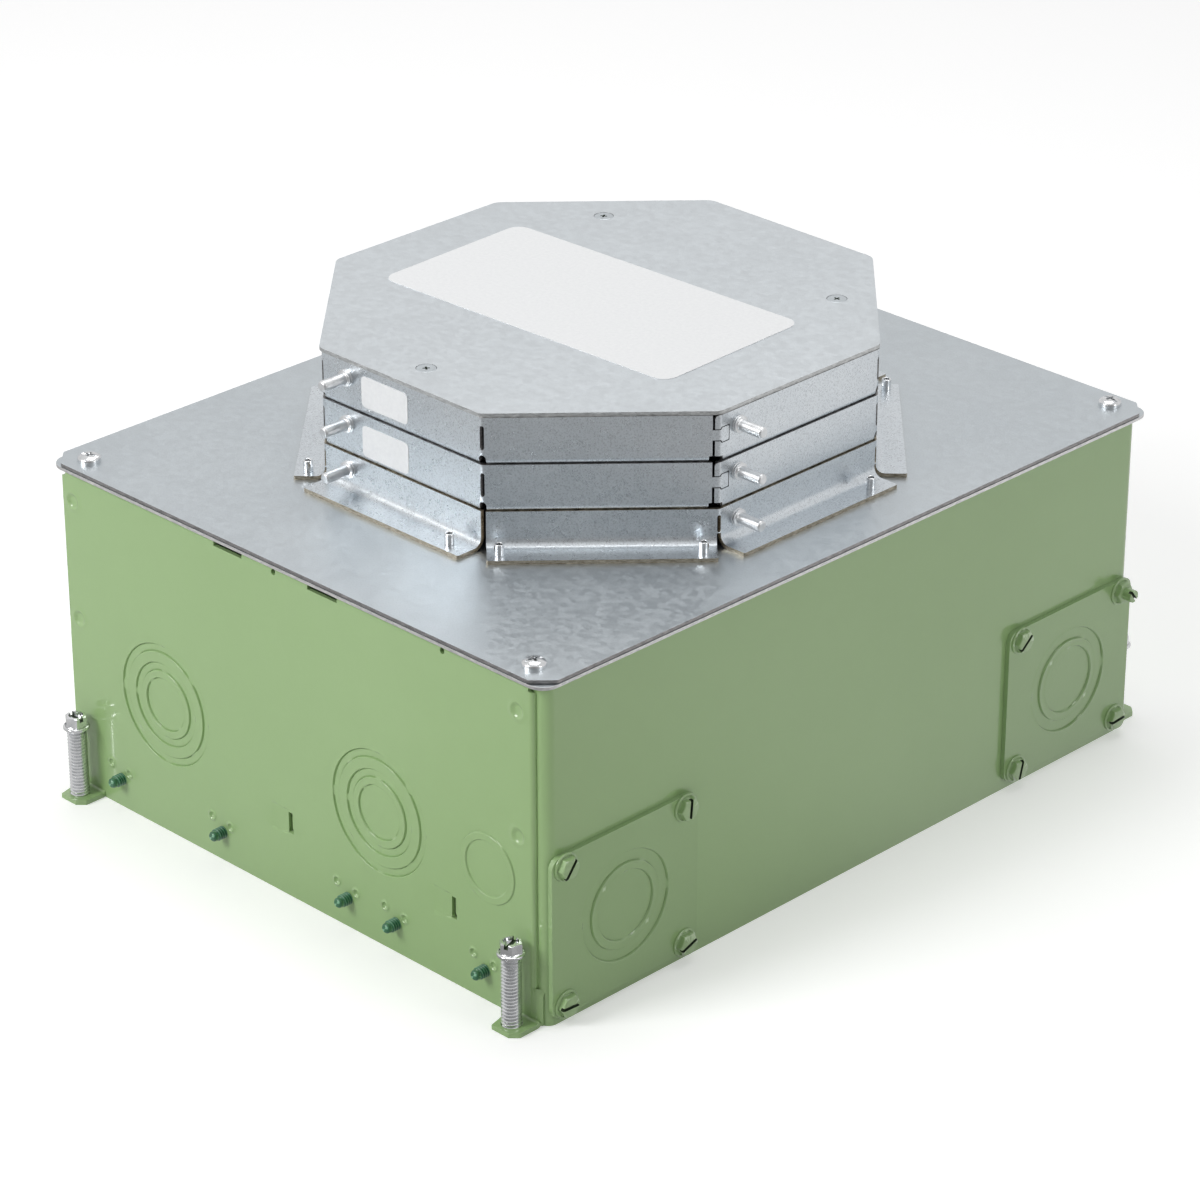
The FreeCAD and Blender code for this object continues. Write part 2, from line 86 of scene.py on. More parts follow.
# %% Camera
camera = bpy.data.objects.new("camera", bpy.data.cameras.new("camera"))
bpy.context.scene.collection.objects.link(camera)
camera.location = (1.1119, -1.1217, 0.8520)
sight = Vector((0.0062, -0.0099, 0.0748)) - camera.location
camera.rotation_euler = sight.to_track_quat("-Z", "Y").to_euler()
camera.data.lens = 133.3
camera.data.sensor_width = 36.0
camera.data.clip_start = 0.05
bpy.context.scene.camera = camera
print("camera distance", round(sight.length, 3))

# %% [markdown]
# ## Nodes in one line
# The surround, the floor and every finish are networks of nodes. A short helper adds one node, sets
# its plain values and links what feeds it, so a network reads from its source to its output.

# %% Nodes in one line
scene = bpy.context.scene
scene.view_settings.view_transform = "Standard"


def add_node(tree, kind, inputs=(), **settings):
    """Add a node; inputs pairs a socket's name or position with a value or with another socket."""
    made = tree.nodes.new(kind)
    for key, value in settings.items():
        setattr(made, key, value)
    for place, value in inputs:
        if isinstance(value, bpy.types.NodeSocket):
            tree.links.new(value, made.inputs[place])
        else:
            made.inputs[place].default_value = value
    return made


def level_towards(tree, vector, direction, start, low, high):
    """A value that goes from low to high as the vector turns to the direction."""
    along = add_node(tree, "ShaderNodeVectorMath", [(0, vector), (1, direction)], operation="DOT_PRODUCT")
    return add_node(tree, "ShaderNodeMapRange",
                    [("Value", along.outputs["Value"]), ("From Min", start), ("From Max", 0.95),
                     ("To Min", low), ("To Max", high)], interpolation_type="SMOOTHSTEP").outputs[0]


def by_ray(tree, kind_of_ray, otherwise, chosen):
    """One shader for this kind of ray and another for the rest."""
    ray = add_node(tree, "ShaderNodeLightPath")
    return add_node(tree, "ShaderNodeMixShader", [(0, ray.outputs[kind_of_ray]), (1, otherwise.outputs[0]),
                                                  (2, chosen.outputs[0])])


print("view transform", scene.view_settings.view_transform)

# %% [markdown]
# ## Surround
# The surround is white for the camera and dimmer for the light that falls on the box. In the mirror
# of bare metal the room is bright all around, but dark on the side where the camera stands, which is
# what gives zinc its contrast.

# %% Surround
FRONT = (0.7, -0.7, 0.0)
RIGHT = (0.7, 0.7, 0.0)

world = bpy.data.worlds.new("surround")
scene.world = world
world.use_nodes = True
sky = world.node_tree
sky.nodes.clear()
every_way = add_node(sky, "ShaderNodeTexCoord").outputs["Generated"]
mirrored_room = add_node(sky, "ShaderNodeBackground",
                         [(1, level_towards(sky, every_way, FRONT, 0.45, 0.95, 0.34))])
soft_room = add_node(sky, "ShaderNodeBackground", [(1, 0.37)])
white_room = add_node(sky, "ShaderNodeBackground", [(1, 1.0)])
lit_room = by_ray(sky, "Is Glossy Ray", soft_room, mirrored_room)
add_node(sky, "ShaderNodeOutputWorld", [(0, by_ray(sky, "Is Camera Ray", lit_room, white_room).outputs[0])])
print("surround nodes", len(sky.nodes))

# %% [markdown]
# ## Lamps
# One large soft lamp high on the left lights the end panel, a weaker one stands on the right, and a
# third hangs above the lid.

# %% Lamps


def soft_lamp(name, place, aim, size, watts):
    """A square area lamp that looks at aim."""
    light = bpy.data.lights.new(name, "AREA")
    light.size = size
    light.energy = watts
    lamp = bpy.data.objects.new(name, light)
    lamp.location = place
    lamp.rotation_euler = (Vector(aim) - Vector(place)).to_track_quat("-Z", "Y").to_euler()
    scene.collection.objects.link(lamp)


soft_lamp("key", (-0.55, -1.7, 1.25), (0, 0, 0.08), 0.8, 22)
soft_lamp("fill", (1.9, 0.35, 0.9), (0, 0, 0.08), 0.5, 3.9)
soft_lamp("top", (-0.2, 0.3, 1.9), (0, 0, 0.1), 1.1, 13)
print("lamps", [lamp.name for lamp in bpy.data.lights])

# %% [markdown]
# ## Floor
# The floor is pale paper that keeps the box's shadow. It glows a little for the camera alone, so
# that it runs into the white surround. Bare metal mirrors it brighter towards the right-hand side
# and darker in front.

# %% Floor
bpy.ops.mesh.primitive_plane_add(size=14, location=(0, 0, 0))
ground = bpy.context.object
ground.name = "studio_floor"
paper = bpy.data.materials.new("studio_floor")
paper.use_nodes = True
pulp = paper.node_tree
pulp.nodes.clear()
matt = add_node(pulp, "ShaderNodeBsdfDiffuse", [("Color", (0.82, 0.82, 0.82, 1))])
glow = add_node(pulp, "ShaderNodeEmission", [("Strength", 0.38)])
glowing = add_node(pulp, "ShaderNodeAddShader", [(0, matt.outputs[0]), (1, glow.outputs[0])])
place = add_node(pulp, "ShaderNodeTexCoord").outputs["Object"]
way = add_node(pulp, "ShaderNodeVectorMath", [(0, place)], operation="NORMALIZE").outputs[0]
level = add_node(pulp, "ShaderNodeMath", [(0, level_towards(pulp, way, RIGHT, -0.8, 0.60, 0.80)),
                                          (1, level_towards(pulp, way, FRONT, 0.35, 0.0, 0.30))],
                 operation="SUBTRACT")
mirrored = add_node(pulp, "ShaderNodeEmission", [("Strength", level.outputs[0])])
shown = by_ray(pulp, "Is Camera Ray", matt, glowing)
add_node(pulp, "ShaderNodeOutputMaterial", [(0, by_ray(pulp, "Is Glossy Ray", shown, mirrored).outputs[0])])
ground.data.materials.append(paper)
print("floor nodes", len(pulp.nodes))

# %% [markdown]
# ## Finishes
# All finishes are node networks in object space, so the pattern keeps its real size on every piece.
# A small kit makes a Principled surface with a colour that wanders a little, a roughness that does
# the same, and a bump.

# %% Finish kit


class Finish:
    """One material and short ways to add nodes to it."""

    def __init__(self, name, **values):
        """Values that are the same all over go straight onto the surface's own sockets."""
        self.material = bpy.data.materials.new(name)
        self.material.use_nodes = True
        self.tree = self.material.node_tree
        self.surface = self.tree.nodes["Principled BSDF"]
        self.space = add_node(self.tree, "ShaderNodeTexCoord").outputs["Object"]
        for key, value in values.items():
            self.surface.inputs[key.replace("_", " ")].default_value = value

    def feed(self, **sockets):
        """Let networks drive sockets of the surface."""
        for key, source in sockets.items():
            self.tree.links.new(source, self.surface.inputs[key.replace("_", " ")])

    def noise(self, scale, detail=2.0, roughness=0.5, stretch=None):
        where = self.space
        if stretch:
            where = add_node(self.tree, "ShaderNodeMapping",
                             [("Scale", stretch), ("Vector", where)]).outputs["Vector"]
        return add_node(self.tree, "ShaderNodeTexNoise",
                        [("Scale", scale), ("Detail", detail), ("Roughness", roughness),
                         ("Vector", where)]).outputs["Fac"]

    def cells(self, scale):
        """Flat random grey per crystal, for spangle."""
        cells = add_node(self.tree, "ShaderNodeTexVoronoi", [("Scale", scale), ("Vector", self.space)])
        return add_node(self.tree, "ShaderNodeSeparateColor", [(0, cells.outputs["Color"])]).outputs[0]

    def ramp(self, value, *stops):
        """Colour ramp; each stop is (position, colour)."""
        ramp = add_node(self.tree, "ShaderNodeValToRGB", [("Fac", value)])
        elements = ramp.color_ramp.elements
        for element, (position, colour) in zip(elements, stops):
            element.position = position
            element.color = (*colour, 1.0)
        return ramp.outputs["Color"]

    def between(self, value, low, high):
        return add_node(self.tree, "ShaderNodeMapRange",
                        [("To Min", low), ("To Max", high), ("Value", value)]).outputs["Result"]

    def mix(self, factor, first, second, mode="MIX"):
        """Colour mix; first and second are sockets or colours."""
        first, second = ((*c, 1.0) if isinstance(c, tuple) else c for c in (first, second))
        return add_node(self.tree, "ShaderNodeMix", [(0, factor), (6, first), (7, second)],
                        data_type="RGBA", blend_type=mode).outputs[2]

    def painted_highlight_and_shade(self, tone, edge, depth=0.35):
        """Painted highlight where the metal's edge stands out, painted shade at the bottom of a groove."""
        point = add_node(self.tree, "ShaderNodeNewGeometry").outputs["Pointiness"]
        # painted highlight: convex edges are mixed towards the edge colour
        out = self.ramp(point, (0.53, (0.0, 0.0, 0.0)), (0.62, (0.75, 0.75, 0.75)))
        # painted shade: grooves are darkened down to depth
        groove = self.ramp(point, (0.40, (depth, depth, depth)), (0.47, (1.0, 1.0, 1.0)))
        return self.mix(1.0, self.mix(out, tone, edge), groove, "MULTIPLY")

    def bump(self, height, distance, strength, after=None):
        """Relief by a height; after is the normal of a bump that lies under this one."""
        bump = add_node(self.tree, "ShaderNodeBump",
                        [("Distance", distance), ("Strength", strength), ("Height", height)])
        if after is not None:
            self.tree.links.new(after, bump.inputs["Normal"])
        self.feed(Normal=bump.outputs["Normal"])
        return bump.outputs["Normal"]


print("finish kit ready")

# %% [markdown]
# ## Green enamel
# The box is sprayed after it is welded, so paint covers the plates and their screws too. Sprayed
# enamel levels into a shallow orange peel, which is a bump with ripples of a few millimetres, and a
# clear glossy skin gives the thin highlights along the bends.

# %% Green enamel


def enamel(name, light, dark, peel=0.00012, edge=None):
    coat = Finish(name, Roughness=0.34, Coat_Weight=1.0, Coat_Roughness=0.10, Coat_IOR=1.55, IOR=1.45)
    tone = coat.ramp(coat.noise(9.0, 3.0), (0.3, dark), (0.7, light))
    tone = coat.mix(0.05, tone, coat.ramp(coat.noise(2600.0), (0.35, dark), (0.65, light)))
    # Where an edge colour is given, edges get it as a painted highlight and grooves get a painted shade.
    coat.feed(Base_Color=coat.painted_highlight_and_shade(tone, edge) if edge else tone)
    ripple = coat.bump(coat.noise(340.0, 2.0, 0.6), peel, 0.5)
    coat.bump(coat.noise(60.0, 1.0), 0.0006, 0.35, after=ripple)
    return coat.material


green_enamel = enamel("green_enamel", (0.338, 0.510, 0.223), (0.316, 0.484, 0.204))
# The last colour of each of the next two is the painted highlight on its edges.
green_over_screws = enamel("green_over_screws", (0.318, 0.482, 0.210), (0.290, 0.450, 0.188), 0.0002,
                           (0.62, 0.78, 0.50))
dark_green = enamel("dark_green_screw_paint", (0.030, 0.200, 0.085), (0.010, 0.110, 0.042), 0.00008,
                    (0.30, 0.62, 0.40))
print("enamel finishes", green_enamel.name, green_over_screws.name, dark_green.name)

# %% [markdown]
# ## Galvanised sheet
# Zinc freezes on the steel in crystals. On sheet this thin they are only a few millimetres wide and
# soft in contrast: each one reflects a little more or less. A fine dark speckle and faint rolling
# streaks lie over them. The cut edges show bare steel, darker and browner.

# %% Galvanised sheet


def galvanised(name, light, dark, rough, speckle):
    zinc = Finish(name, Metallic=1.0)
    crystals = zinc.cells(420.0)
    grain = zinc.noise(1500.0, 3.0, 0.7)
    tone = zinc.ramp(zinc.noise(14.0, 4.0, 0.6), (0.3, dark), (0.7, light))
    tone = zinc.mix(0.07, tone, zinc.ramp(crystals, (0.0, dark), (1.0, light)))
    tone = zinc.mix(0.12, tone, zinc.ramp(zinc.cells(1150.0), (0.0, dark), (1.0, light)))
    streak = zinc.noise(90.0, 3.0, 0.6, (1.0, 0.06, 1.0))
    tone = zinc.mix(0.10, tone, zinc.ramp(streak, (0.35, dark), (0.65, light)))
    spots = zinc.ramp(grain, (0.30, (speckle, speckle, speckle)), (0.52, (1.0, 1.0, 1.0)))
    zinc.feed(Base_Color=zinc.mix(1.0, tone, spots, "MULTIPLY"),
              Roughness=zinc.between(zinc.mix(0.5, crystals, grain), rough - 0.08, rough + 0.10))
    zinc.bump(grain, 0.00004, 0.5)
    return zinc.material


lid_zinc = galvanised("galvanised_lid", (0.600, 0.640, 0.665), (0.560, 0.600, 0.628), 0.40, 0.90)
cover_zinc = galvanised("galvanised_cover", (0.675, 0.710, 0.735), (0.640, 0.675, 0.700), 0.42, 0.95)
collar_zinc = galvanised("galvanised_collar", (0.80, 0.84, 0.87), (0.68, 0.725, 0.765), 0.30, 0.68)


def cut_steel(name, dark, light):
    edge = Finish(name, Metallic=1.0)
    scratches = edge.noise(1800.0, 3.0, 0.7, (0.2, 0.2, 1.0))
    edge.feed(Base_Color=edge.ramp(scratches, (0.3, dark), (0.7, light)),
              Roughness=edge.between(scratches, 0.35, 0.6))
    edge.bump(scratches, 0.00005, 0.6)
    return edge.material


bare_edge = cut_steel("cut_steel_edge", (0.20, 0.20, 0.20), (0.46, 0.45, 0.45))
# painted sheen: the same cut steel as bare_edge, drawn much lighter for the lower lid plate's edge
sheen_painted_edge = cut_steel("sheen_painted_steel_edge", (0.55, 0.55, 0.56), (0.92, 0.91, 0.90))
cover_edge = cut_steel("cover_edge", (0.40, 0.41, 0.41), (0.75, 0.76, 0.76))
flange_edge = cut_steel("flange_edge", (0.20, 0.17, 0.12), (0.62, 0.56, 0.46))
print("zinc finishes", lid_zinc.name, collar_zinc.name, bare_edge.name)

# %% [markdown]
# ## Bright zinc and label stock
# Screws and studs are zinc plated after machining, so they are almost mirror bright, with the fine
# rings that turning leaves. The labels are smooth white film.

# %% Bright zinc and label stock


def bright_plating(name, smooth, rough):
    plate = Finish(name, Metallic=1.0)
    cloud = plate.noise(240.0, 3.0, 0.6)
    tone = plate.ramp(cloud, (0.3, (0.66, 0.67, 0.68)), (0.7, (0.86, 0.87, 0.88)))
    # Edges get a near-white painted highlight, and grooves such as thread roots get a painted shade down to
    # 0.12.
    plate.feed(Base_Color=plate.painted_highlight_and_shade(tone, (0.93, 0.94, 0.95), 0.12),
               Roughness=plate.between(cloud, smooth, rough))
    plate.bump(plate.noise(900.0), 0.00002, 0.12)
    return plate.material


def label_film():
    film = Finish("label_film", Roughness=0.45, IOR=1.45)
    fibre = film.noise(700.0, 4.0, 0.6)
    film.feed(Base_Color=film.ramp(fibre, (0.3, (0.84, 0.85, 0.86)), (0.7, (0.90, 0.91, 0.915))))
    film.bump(film.noise(35.0), 0.0002, 0.3)
    return film.material


def painted_slot_shade():
    """Near black, a painted shade inside driver slots and recesses; on painted screws the paint also hardly
    reaches there.
    """
    shade = Finish("slot_shadow", Roughness=0.6)
    shade.feed(Base_Color=shade.ramp(shade.noise(1500.0), (0.3, (0.012, 0.022, 0.010)),
                                     (0.7, (0.045, 0.07, 0.035))))
    return shade.material


bright_zinc = bright_plating("bright_zinc", 0.12, 0.26)
satin_zinc = bright_plating("satin_zinc", 0.30, 0.42)
label_white = label_film()
slot_shadow = painted_slot_shade()
print("bright finishes", bright_zinc.name, satin_zinc.name, label_white.name, slot_shadow.name)

# %% [markdown]
# ## From drawing to piece
# A bmesh in millimetres becomes an object in metres here. Each piece rides on the body it moves with,
# hides the imported part that it stands for, and keeps sharp only the edges that are really sharp.

# %% Set a piece down


def set_down(name, bm, finishes, body, stands_for=None, crease=38):
    """Make the object, give its faces and cut edges their finishes, and tie it to its body."""
    bm.transform(Matrix.Scale(MM, 4))
    mesh = bpy.data.meshes.new(name)
    bm.to_mesh(mesh)
    bm.free()
    for finish in finishes:
        mesh.materials.append(finish)
    mesh.shade_smooth()
    mesh.set_sharp_from_angle(angle=math.radians(crease))
    piece = bpy.data.objects.new(name, mesh)
    scene.collection.objects.link(piece)
    even = piece.modifiers.new("even_normals", "WEIGHTED_NORMAL")
    even.keep_sharp = True
    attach(piece, body)
    if stands_for:
        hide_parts(stands_for)
    print(name, len(mesh.polygons), "faces")


def shifted(x, y, z):
    return Matrix.Translation((x, y, z))


def turned(angle, axis="Z"):
    return Matrix.Rotation(angle, 4, axis)


def join_in(bm, other, place=Matrix.Identity(4)):
    """Add another bmesh to bm at a place and free it."""
    other.transform(place)
    carrier = bpy.data.meshes.new("carrier")
    other.to_mesh(carrier)
    other.free()
    bm.from_mesh(carrier)
    bpy.data.meshes.remove(carrier)


def face_count(bm):
    """How many faces a trial piece has; the piece is thrown away."""
    count = len(bm.faces)
    bm.free()
    return count


PAINTED = (green_enamel, green_enamel)
print("painted pieces carry", PAINTED[0].name, "on faces and cut edges")

# %% [markdown]
# ## Blank, punch, press
# A flat part starts as an outline with holes. The fill between them is flat, so long thin triangles
# don't show. Wherever the die presses the metal, a round patch of close rings takes the flat's place
# and shares the ring of corners around it. A blank stands in the X-Z plane and faces -Y; height is
# how far a point stands out of it.

# %% Blank, punch, press


def circle(u, v, radius, count=48):
    return [(u + radius * math.cos(TURN * k / count), v + radius * math.sin(TURN * k / count))
            for k in range(count)]


def slot_outline(u, v, width, height, count=6):
    """Upright slot with round ends, as corner points."""
    r = width / 2
    points = []
    for middle, start in ((v + height / 2 - r, 0.0), (v - height / 2 + r, math.pi)):
        for k in range(count + 1):
            a = start + math.pi * k / count
            points.append((u + r * math.cos(a), middle + r * math.sin(a)))
    return points


def rounded_box(u0, u1, v0, v1, radius, count=6):
    points = []
    for u, v, start in ((u1 - radius, v1 - radius, 0), (u0 + radius, v1 - radius, 1),
                        (u0 + radius, v0 + radius, 2), (u1 - radius, v0 + radius, 3)):
        for k in range(count + 1):
            a = (start + k / count) * math.pi / 2
            points.append((u + radius * math.cos(a), v + radius * math.sin(a)))
    return points


def press_patch(bm, centre, radii, height, count=120):
    """Rings of faces from the outermost radius to the middle; returns the outermost edges."""
    rows = []
    for r in sorted(radii, reverse=True):
        angles = [TURN * k / count for k in range(count)]
        rows.append([bm.verts.new((centre[0] + r * math.cos(a), -height(r, a), centre[1] + r * math.sin(a)))
                     for a in angles])
    middle = bm.verts.new((centre[0], -height(0.0, 0.0), centre[1]))
    for outer, inner in zip(rows, rows[1:]):
        for k in range(count):
            j = (k + 1) % count
            bm.faces.new((outer[k], outer[j], inner[j], inner[k]))
    for k in range(count):
        bm.faces.new((rows[-1][k], rows[-1][(k + 1) % count], middle))
    return [bm.edges.get((rows[0][k], rows[0][(k + 1) % count])) for k in range(count)]


def punch(outline, holes=(), patches=()):
    """Flat sheet with holes, and with pressed patches as (centre, radii, height function)."""
    bm = bmesh.new()
    rim = []
    for patch in patches:
        rim += press_patch(bm, *patch)
    for points in [outline, *holes]:
        verts = [bm.verts.new((u, 0.0, v)) for u, v in points]
        rim += [bm.edges.new((verts[k - 1], verts[k])) for k in range(len(verts))]
    bmesh.ops.triangle_fill(bm, use_beauty=True, use_dissolve=False, edges=rim)
    bm.normal_update()
    bmesh.ops.reverse_faces(bm, faces=[f for f in bm.faces if f.normal.y > 0])
    return bm


print("a round hole is cut with", len(circle(0, 0, 1)), "corners")

# %% [markdown]
# ## Fold and thicken
# Folding moves the points of the blank, so it needs crease lines first: cuts across the flat where
# the bend begins, inside it, and where it ends. Thickening copies the skin inwards along its normals
# and closes the cut edge, which gets its own finish and a small ease so that it catches the light.

# %% Fold and thicken


def crease_lines(bm, direction, places):
    """Cut every face that crosses the planes at these places along a direction."""
    for place in places:
        bmesh.ops.bisect_plane(bm, geom=bm.verts[:] + bm.edges[:] + bm.faces[:], dist=1e-5,
                               plane_co=direction * place, plane_no=direction)


def bend_places(start, radius, steps=5):
    """Where a right-angle bend of this radius needs its creases, along the flat."""
    arc = radius * math.pi / 2
    return [start + arc * k / steps for k in range(steps + 1)]


def fold_back(distance, radius):
    """A point this far past the start of a right-angle bend: how far on it gets, how far back."""
    arc = radius * math.pi / 2
    if distance <= 0:
        return distance, 0.0
    if distance < arc:
        a = distance / radius
        return radius * math.sin(a), radius * (1 - math.cos(a))
    return radius, radius + distance - arc


def thicken(bm, thickness, ease=0.18, segments=2):
    """Back and cut edge for a one-sided sheet; the cut edge gets material 1."""
    bm.normal_update()
    skin = bm.faces[:]
    rim = [e.link_loops[0] for e in bm.edges if len(e.link_faces) == 1]
    back = {v: bm.verts.new(v.co - v.normal * thickness) for v in bm.verts[:]}
    for face in skin:
        bm.faces.new([back[v] for v in reversed(face.verts)])
    for loop in rim:
        a, b = loop.vert, loop.link_loop_next.vert
        bm.faces.new((b, a, back[a], back[b])).material_index = 1
    edges = [e for e in bm.edges if sum(f.material_index for f in e.link_faces) == 1]
    if ease:
        bmesh.ops.bevel(bm, geom=edges, offset=ease, segments=segments, profile=0.5,
                        affect="EDGES", clamp_overlap=True, material=-1)
    return bm


print("a 2 mm bend takes up", round(bend_places(0.0, 2.0)[-1], 2), "mm of the flat")

# %% [markdown]
# ## Knockouts
# A knockout is a disc that the die shears most of the way through and leaves hanging on small ties,
# so an electrician can knock it out with a hammer. Here five circles nest in each other, and every
# other ring is pressed in by about a third of the sheet. Each circle is a steep step with a thin
# crack beside it, except at its ties, where the metal ramps smoothly from one level to the next.

# %% Knockouts
PRESS = 0.55          # how far a ring is pressed in
SHEAR = 0.14          # how wide the step between two rings is
CRACK = 0.30          # depth of the sheared crack on the lower side
LIP_RISE = 0.07       # how far the punch draws up the edge on the upper side
TIE = 2.2             # length of a tie along its circle
BURR = 0.28           # height of the torn edge at both ends of a tie
RING_STEPS = (0.06, 0.16, 0.3, 0.5, 0.9, 1.6)   # how far rings of corners lie from a circle


def knockout(diameters, ties, depth=PRESS, shear=SHEAR, crack=CRACK, first=-1, lip=LIP_RISE):
    """Radii and height function of nested circles; ties holds angles in degrees per circle.

    first is -1 where the outermost ring is pressed in, and 1 where it stands out.
    """
    edges = [d / 2 for d in diameters]

    def height(r, a):
        level = 0.0
        for k, edge in enumerate(edges):
            held = 0.0
            for tie in ties[k]:
                gap = abs((a - math.radians(tie) + math.pi) % TURN - math.pi) * edge
                held = max(held, 1.0 - min(1.0, max(0.0, (gap - TIE / 2) / 0.5)))
            width = shear + held * 0.9
            inside = 0.5 - 0.5 * math.tanh((r - edge) / width * 1.6)
            drop = first * depth if k % 2 == 0 else -first * depth
            level += drop * inside
            upper = edge + 0.36 if drop < 0 else edge - 0.36
            level += lip * math.exp(-((r - upper) / 0.24) ** 2)
            level += BURR * math.exp(-(((r - edge) / 0.35) ** 2)) * 4 * held * (1.0 - held)
            lower = edge - 0.16 if drop < 0 else edge + 0.16
            level -= crack * (1.0 - held) * math.exp(-((r - lower) / 0.14) ** 2)
        return level

    radii = {edges[0] + 2.4, 0.35 * edges[-1]}
    for edge in edges:
        radii |= {edge + side * step for side in (-1, 1) for step in RING_STEPS}
    return radii, height


def dimple(radius, depth, rim):
    """Shallow round dent with a faint raised lip."""
    def height(r, a):
        lip = rim * math.exp(-((r - radius * 1.25) / (0.35 * radius)) ** 2)
        return lip - depth * math.exp(-((r / radius) ** 4))
    return [radius * s for s in (0.25, 0.5, 0.7, 0.85, 1.0, 1.15, 1.3, 1.5, 1.8, 2.2)], height


CROSS = (0, 90, 180, 270)
DIAGONAL = (45, 135, 225, 315)
wide_knockout = knockout((50.4, 44.0, 34.9, 28.2, 22.2),
                         (CROSS, DIAGONAL, (0, 180), (90, 270), (135, 315)))
raised_knockout = knockout((28.2, 22.2), ((60, 240), (135, 315)), first=1, shear=0.25, crack=0.1)
weld_spot = dimple(2.7, 0.8, 0.34)
screw_pip = dimple(1.35, 0.6, 0.5)
print("knockout rings", len(wide_knockout[0]), "raised", len(raised_knockout[0]))

# %% [markdown]
# ## Turned parts
# Screws and studs come off a lathe: a profile swept about the Z axis. The profile's corners are
# softened first, since no turned corner is quite sharp. A block stands for bar stock and for tools.

# %% Turned parts


def soften(points, radius, steps=3):
    """Round the corners of an open run of points."""
    run = [points[0]]
    for before, corner, after in zip(points, points[1:], points[2:]):
        corner = Vector(corner)
        back, ahead = Vector(before) - corner, Vector(after) - corner
        cut = min(radius, back.length / 2, ahead.length / 2)
        start, end = corner + back.normalized() * cut, corner + ahead.normalized() * cut
        for k in range(steps + 1):
            t = k / steps
            run.append(tuple(start * (1 - t) ** 2 + corner * 2 * t * (1 - t) + end * t * t))
    return run + [points[-1]]


def lathe(profile, count=48):
    """Closed solid about Z; each point is (radius, height) or a function of the angle that gives one."""
    bm = bmesh.new()
    rows = []
    for point in profile:
        if not callable(point) and point[0] == 0:
            rows.append([bm.verts.new((0, 0, point[1]))] * count)
            continue
        row = []
        for k in range(count):
            a = TURN * k / count
            r, z = point(a) if callable(point) else point
            row.append(bm.verts.new((r * math.cos(a), r * math.sin(a), z)))
        rows.append(row)
    for lower, upper in zip(rows, rows[1:]):
        for k in range(count):
            j = (k + 1) % count
            corners = []
            for v in (lower[k], lower[j], upper[j], upper[k]):
                if v not in corners:
                    corners.append(v)
            bm.faces.new(corners)
    bmesh.ops.recalc_face_normals(bm, faces=bm.faces)
    return bm


def block(size, place=(0, 0, 0), turn=0.0):
    """Box by its three sizes, turned about Z."""
    bm = bmesh.new()
    bmesh.ops.create_cube(bm, size=1)
    bm.transform(Matrix.Translation(place) @ Matrix.Rotation(turn, 4, "Z") @ Matrix.Diagonal((*size, 1)))
    for face in bm.faces:
        face.material_index = 1
    return bm


print("a turned disc has", face_count(lathe([(0, 0), (1, 0), (1, 1), (0, 1)])), "faces")

# %% [markdown]
# ## Threads
# A thread is a grid around the rod, sheared so that one turn climbs by one pitch. Its crest then
# runs along the edges of the mesh. The ends are cut flat, and the tip is chamfered so that it starts
# in a hole without catching.

# %% Threads


def thread(radius, depth, pitch, length, tip, count):
    """Threaded rod from z = 0 up to its chamfered tip."""
    bm = bmesh.new()
    steps = ((0.0, 0.0), (0.36, 1.0), (0.50, 1.0), (0.86, 0.0))
    turns = math.ceil(length / pitch) + 4
    rows = []
    for j in range(turns):
        for share, high in steps:
            rows.append([bm.verts.new(((radius - depth * (1 - high)) * math.cos(TURN * k / count),
                                       (radius - depth * (1 - high)) * math.sin(TURN * k / count),
                                       (j + share + k / count - 2.0) * pitch)) for k in range(count)])
    for lower, upper in zip(rows, rows[1:]):
        for k in range(count - 1):
            bm.faces.new((lower[k], lower[k + 1], upper[k + 1], upper[k]))
    for n in range(len(rows) - len(steps) - 1):
        low, high = rows[n], rows[n + 1]
        next_low, next_high = rows[n + len(steps)], rows[n + len(steps) + 1]
        bm.faces.new((next_low[0], next_high[0], high[-1], low[-1])[::-1])
    for place, normal in ((0.0, -1), (length, 1)):
        bmesh.ops.bisect_plane(bm, geom=bm.verts[:] + bm.edges[:] + bm.faces[:], dist=1e-6,
                               plane_co=(0, 0, place), plane_no=(0, 0, normal), clear_outer=True)
    crease_lines(bm, Vector((0, 0, 1)), (length - tip, length - tip / 2))
    for v in bm.verts:
        reach = radius - depth + min(1.0, (length - v.co.z) / tip) * depth
        flat = math.hypot(v.co.x, v.co.y)
        if flat > reach:
            v.co.x, v.co.y = v.co.x * reach / flat, v.co.y * reach / flat
    bmesh.ops.remove_doubles(bm, verts=bm.verts, dist=1e-4)
    bmesh.ops.holes_fill(bm, edges=[e for e in bm.edges if len(e.link_faces) == 1], sides=0)
    bmesh.ops.recalc_face_normals(bm, faces=bm.faces)
    return bm


print("8 mm of M5 thread take", face_count(thread(2.5, 0.5, 0.8, 8.0, 0.5, 24)), "faces")

# %% [markdown]
# ## Milled parts
# Slots and cross recesses are cut into a head with an exact boolean, the way a milling cutter or a
# punch would. A hexagon is a turned shape whose radius changes with the angle.

# %% Milled parts


def carve(bm, *cutters):
    """Take closed shapes out of bm; faces made by a cutter get its material."""
    def stand_in(name, shape):
        mesh = bpy.data.meshes.new(name)
        shape.to_mesh(mesh)
        shape.free()
        mesh.materials.append(None)
        mesh.materials.append(None)
        made = bpy.data.objects.new(name, mesh)
        scene.collection.objects.link(made)
        return made

    work = stand_in("work", bm)
    tools = [stand_in("cutter", cutter) for cutter in cutters]
    for tool in tools:
        cut = work.modifiers.new("cut", "BOOLEAN")
        cut.object, cut.operation, cut.solver = tool, "DIFFERENCE", "EXACT"
    bpy.context.view_layer.update()
    result = bmesh.new()
    result.from_object(work, bpy.context.evaluated_depsgraph_get())
    for made in (work, *tools):
        bpy.data.meshes.remove(made.data)
    return result


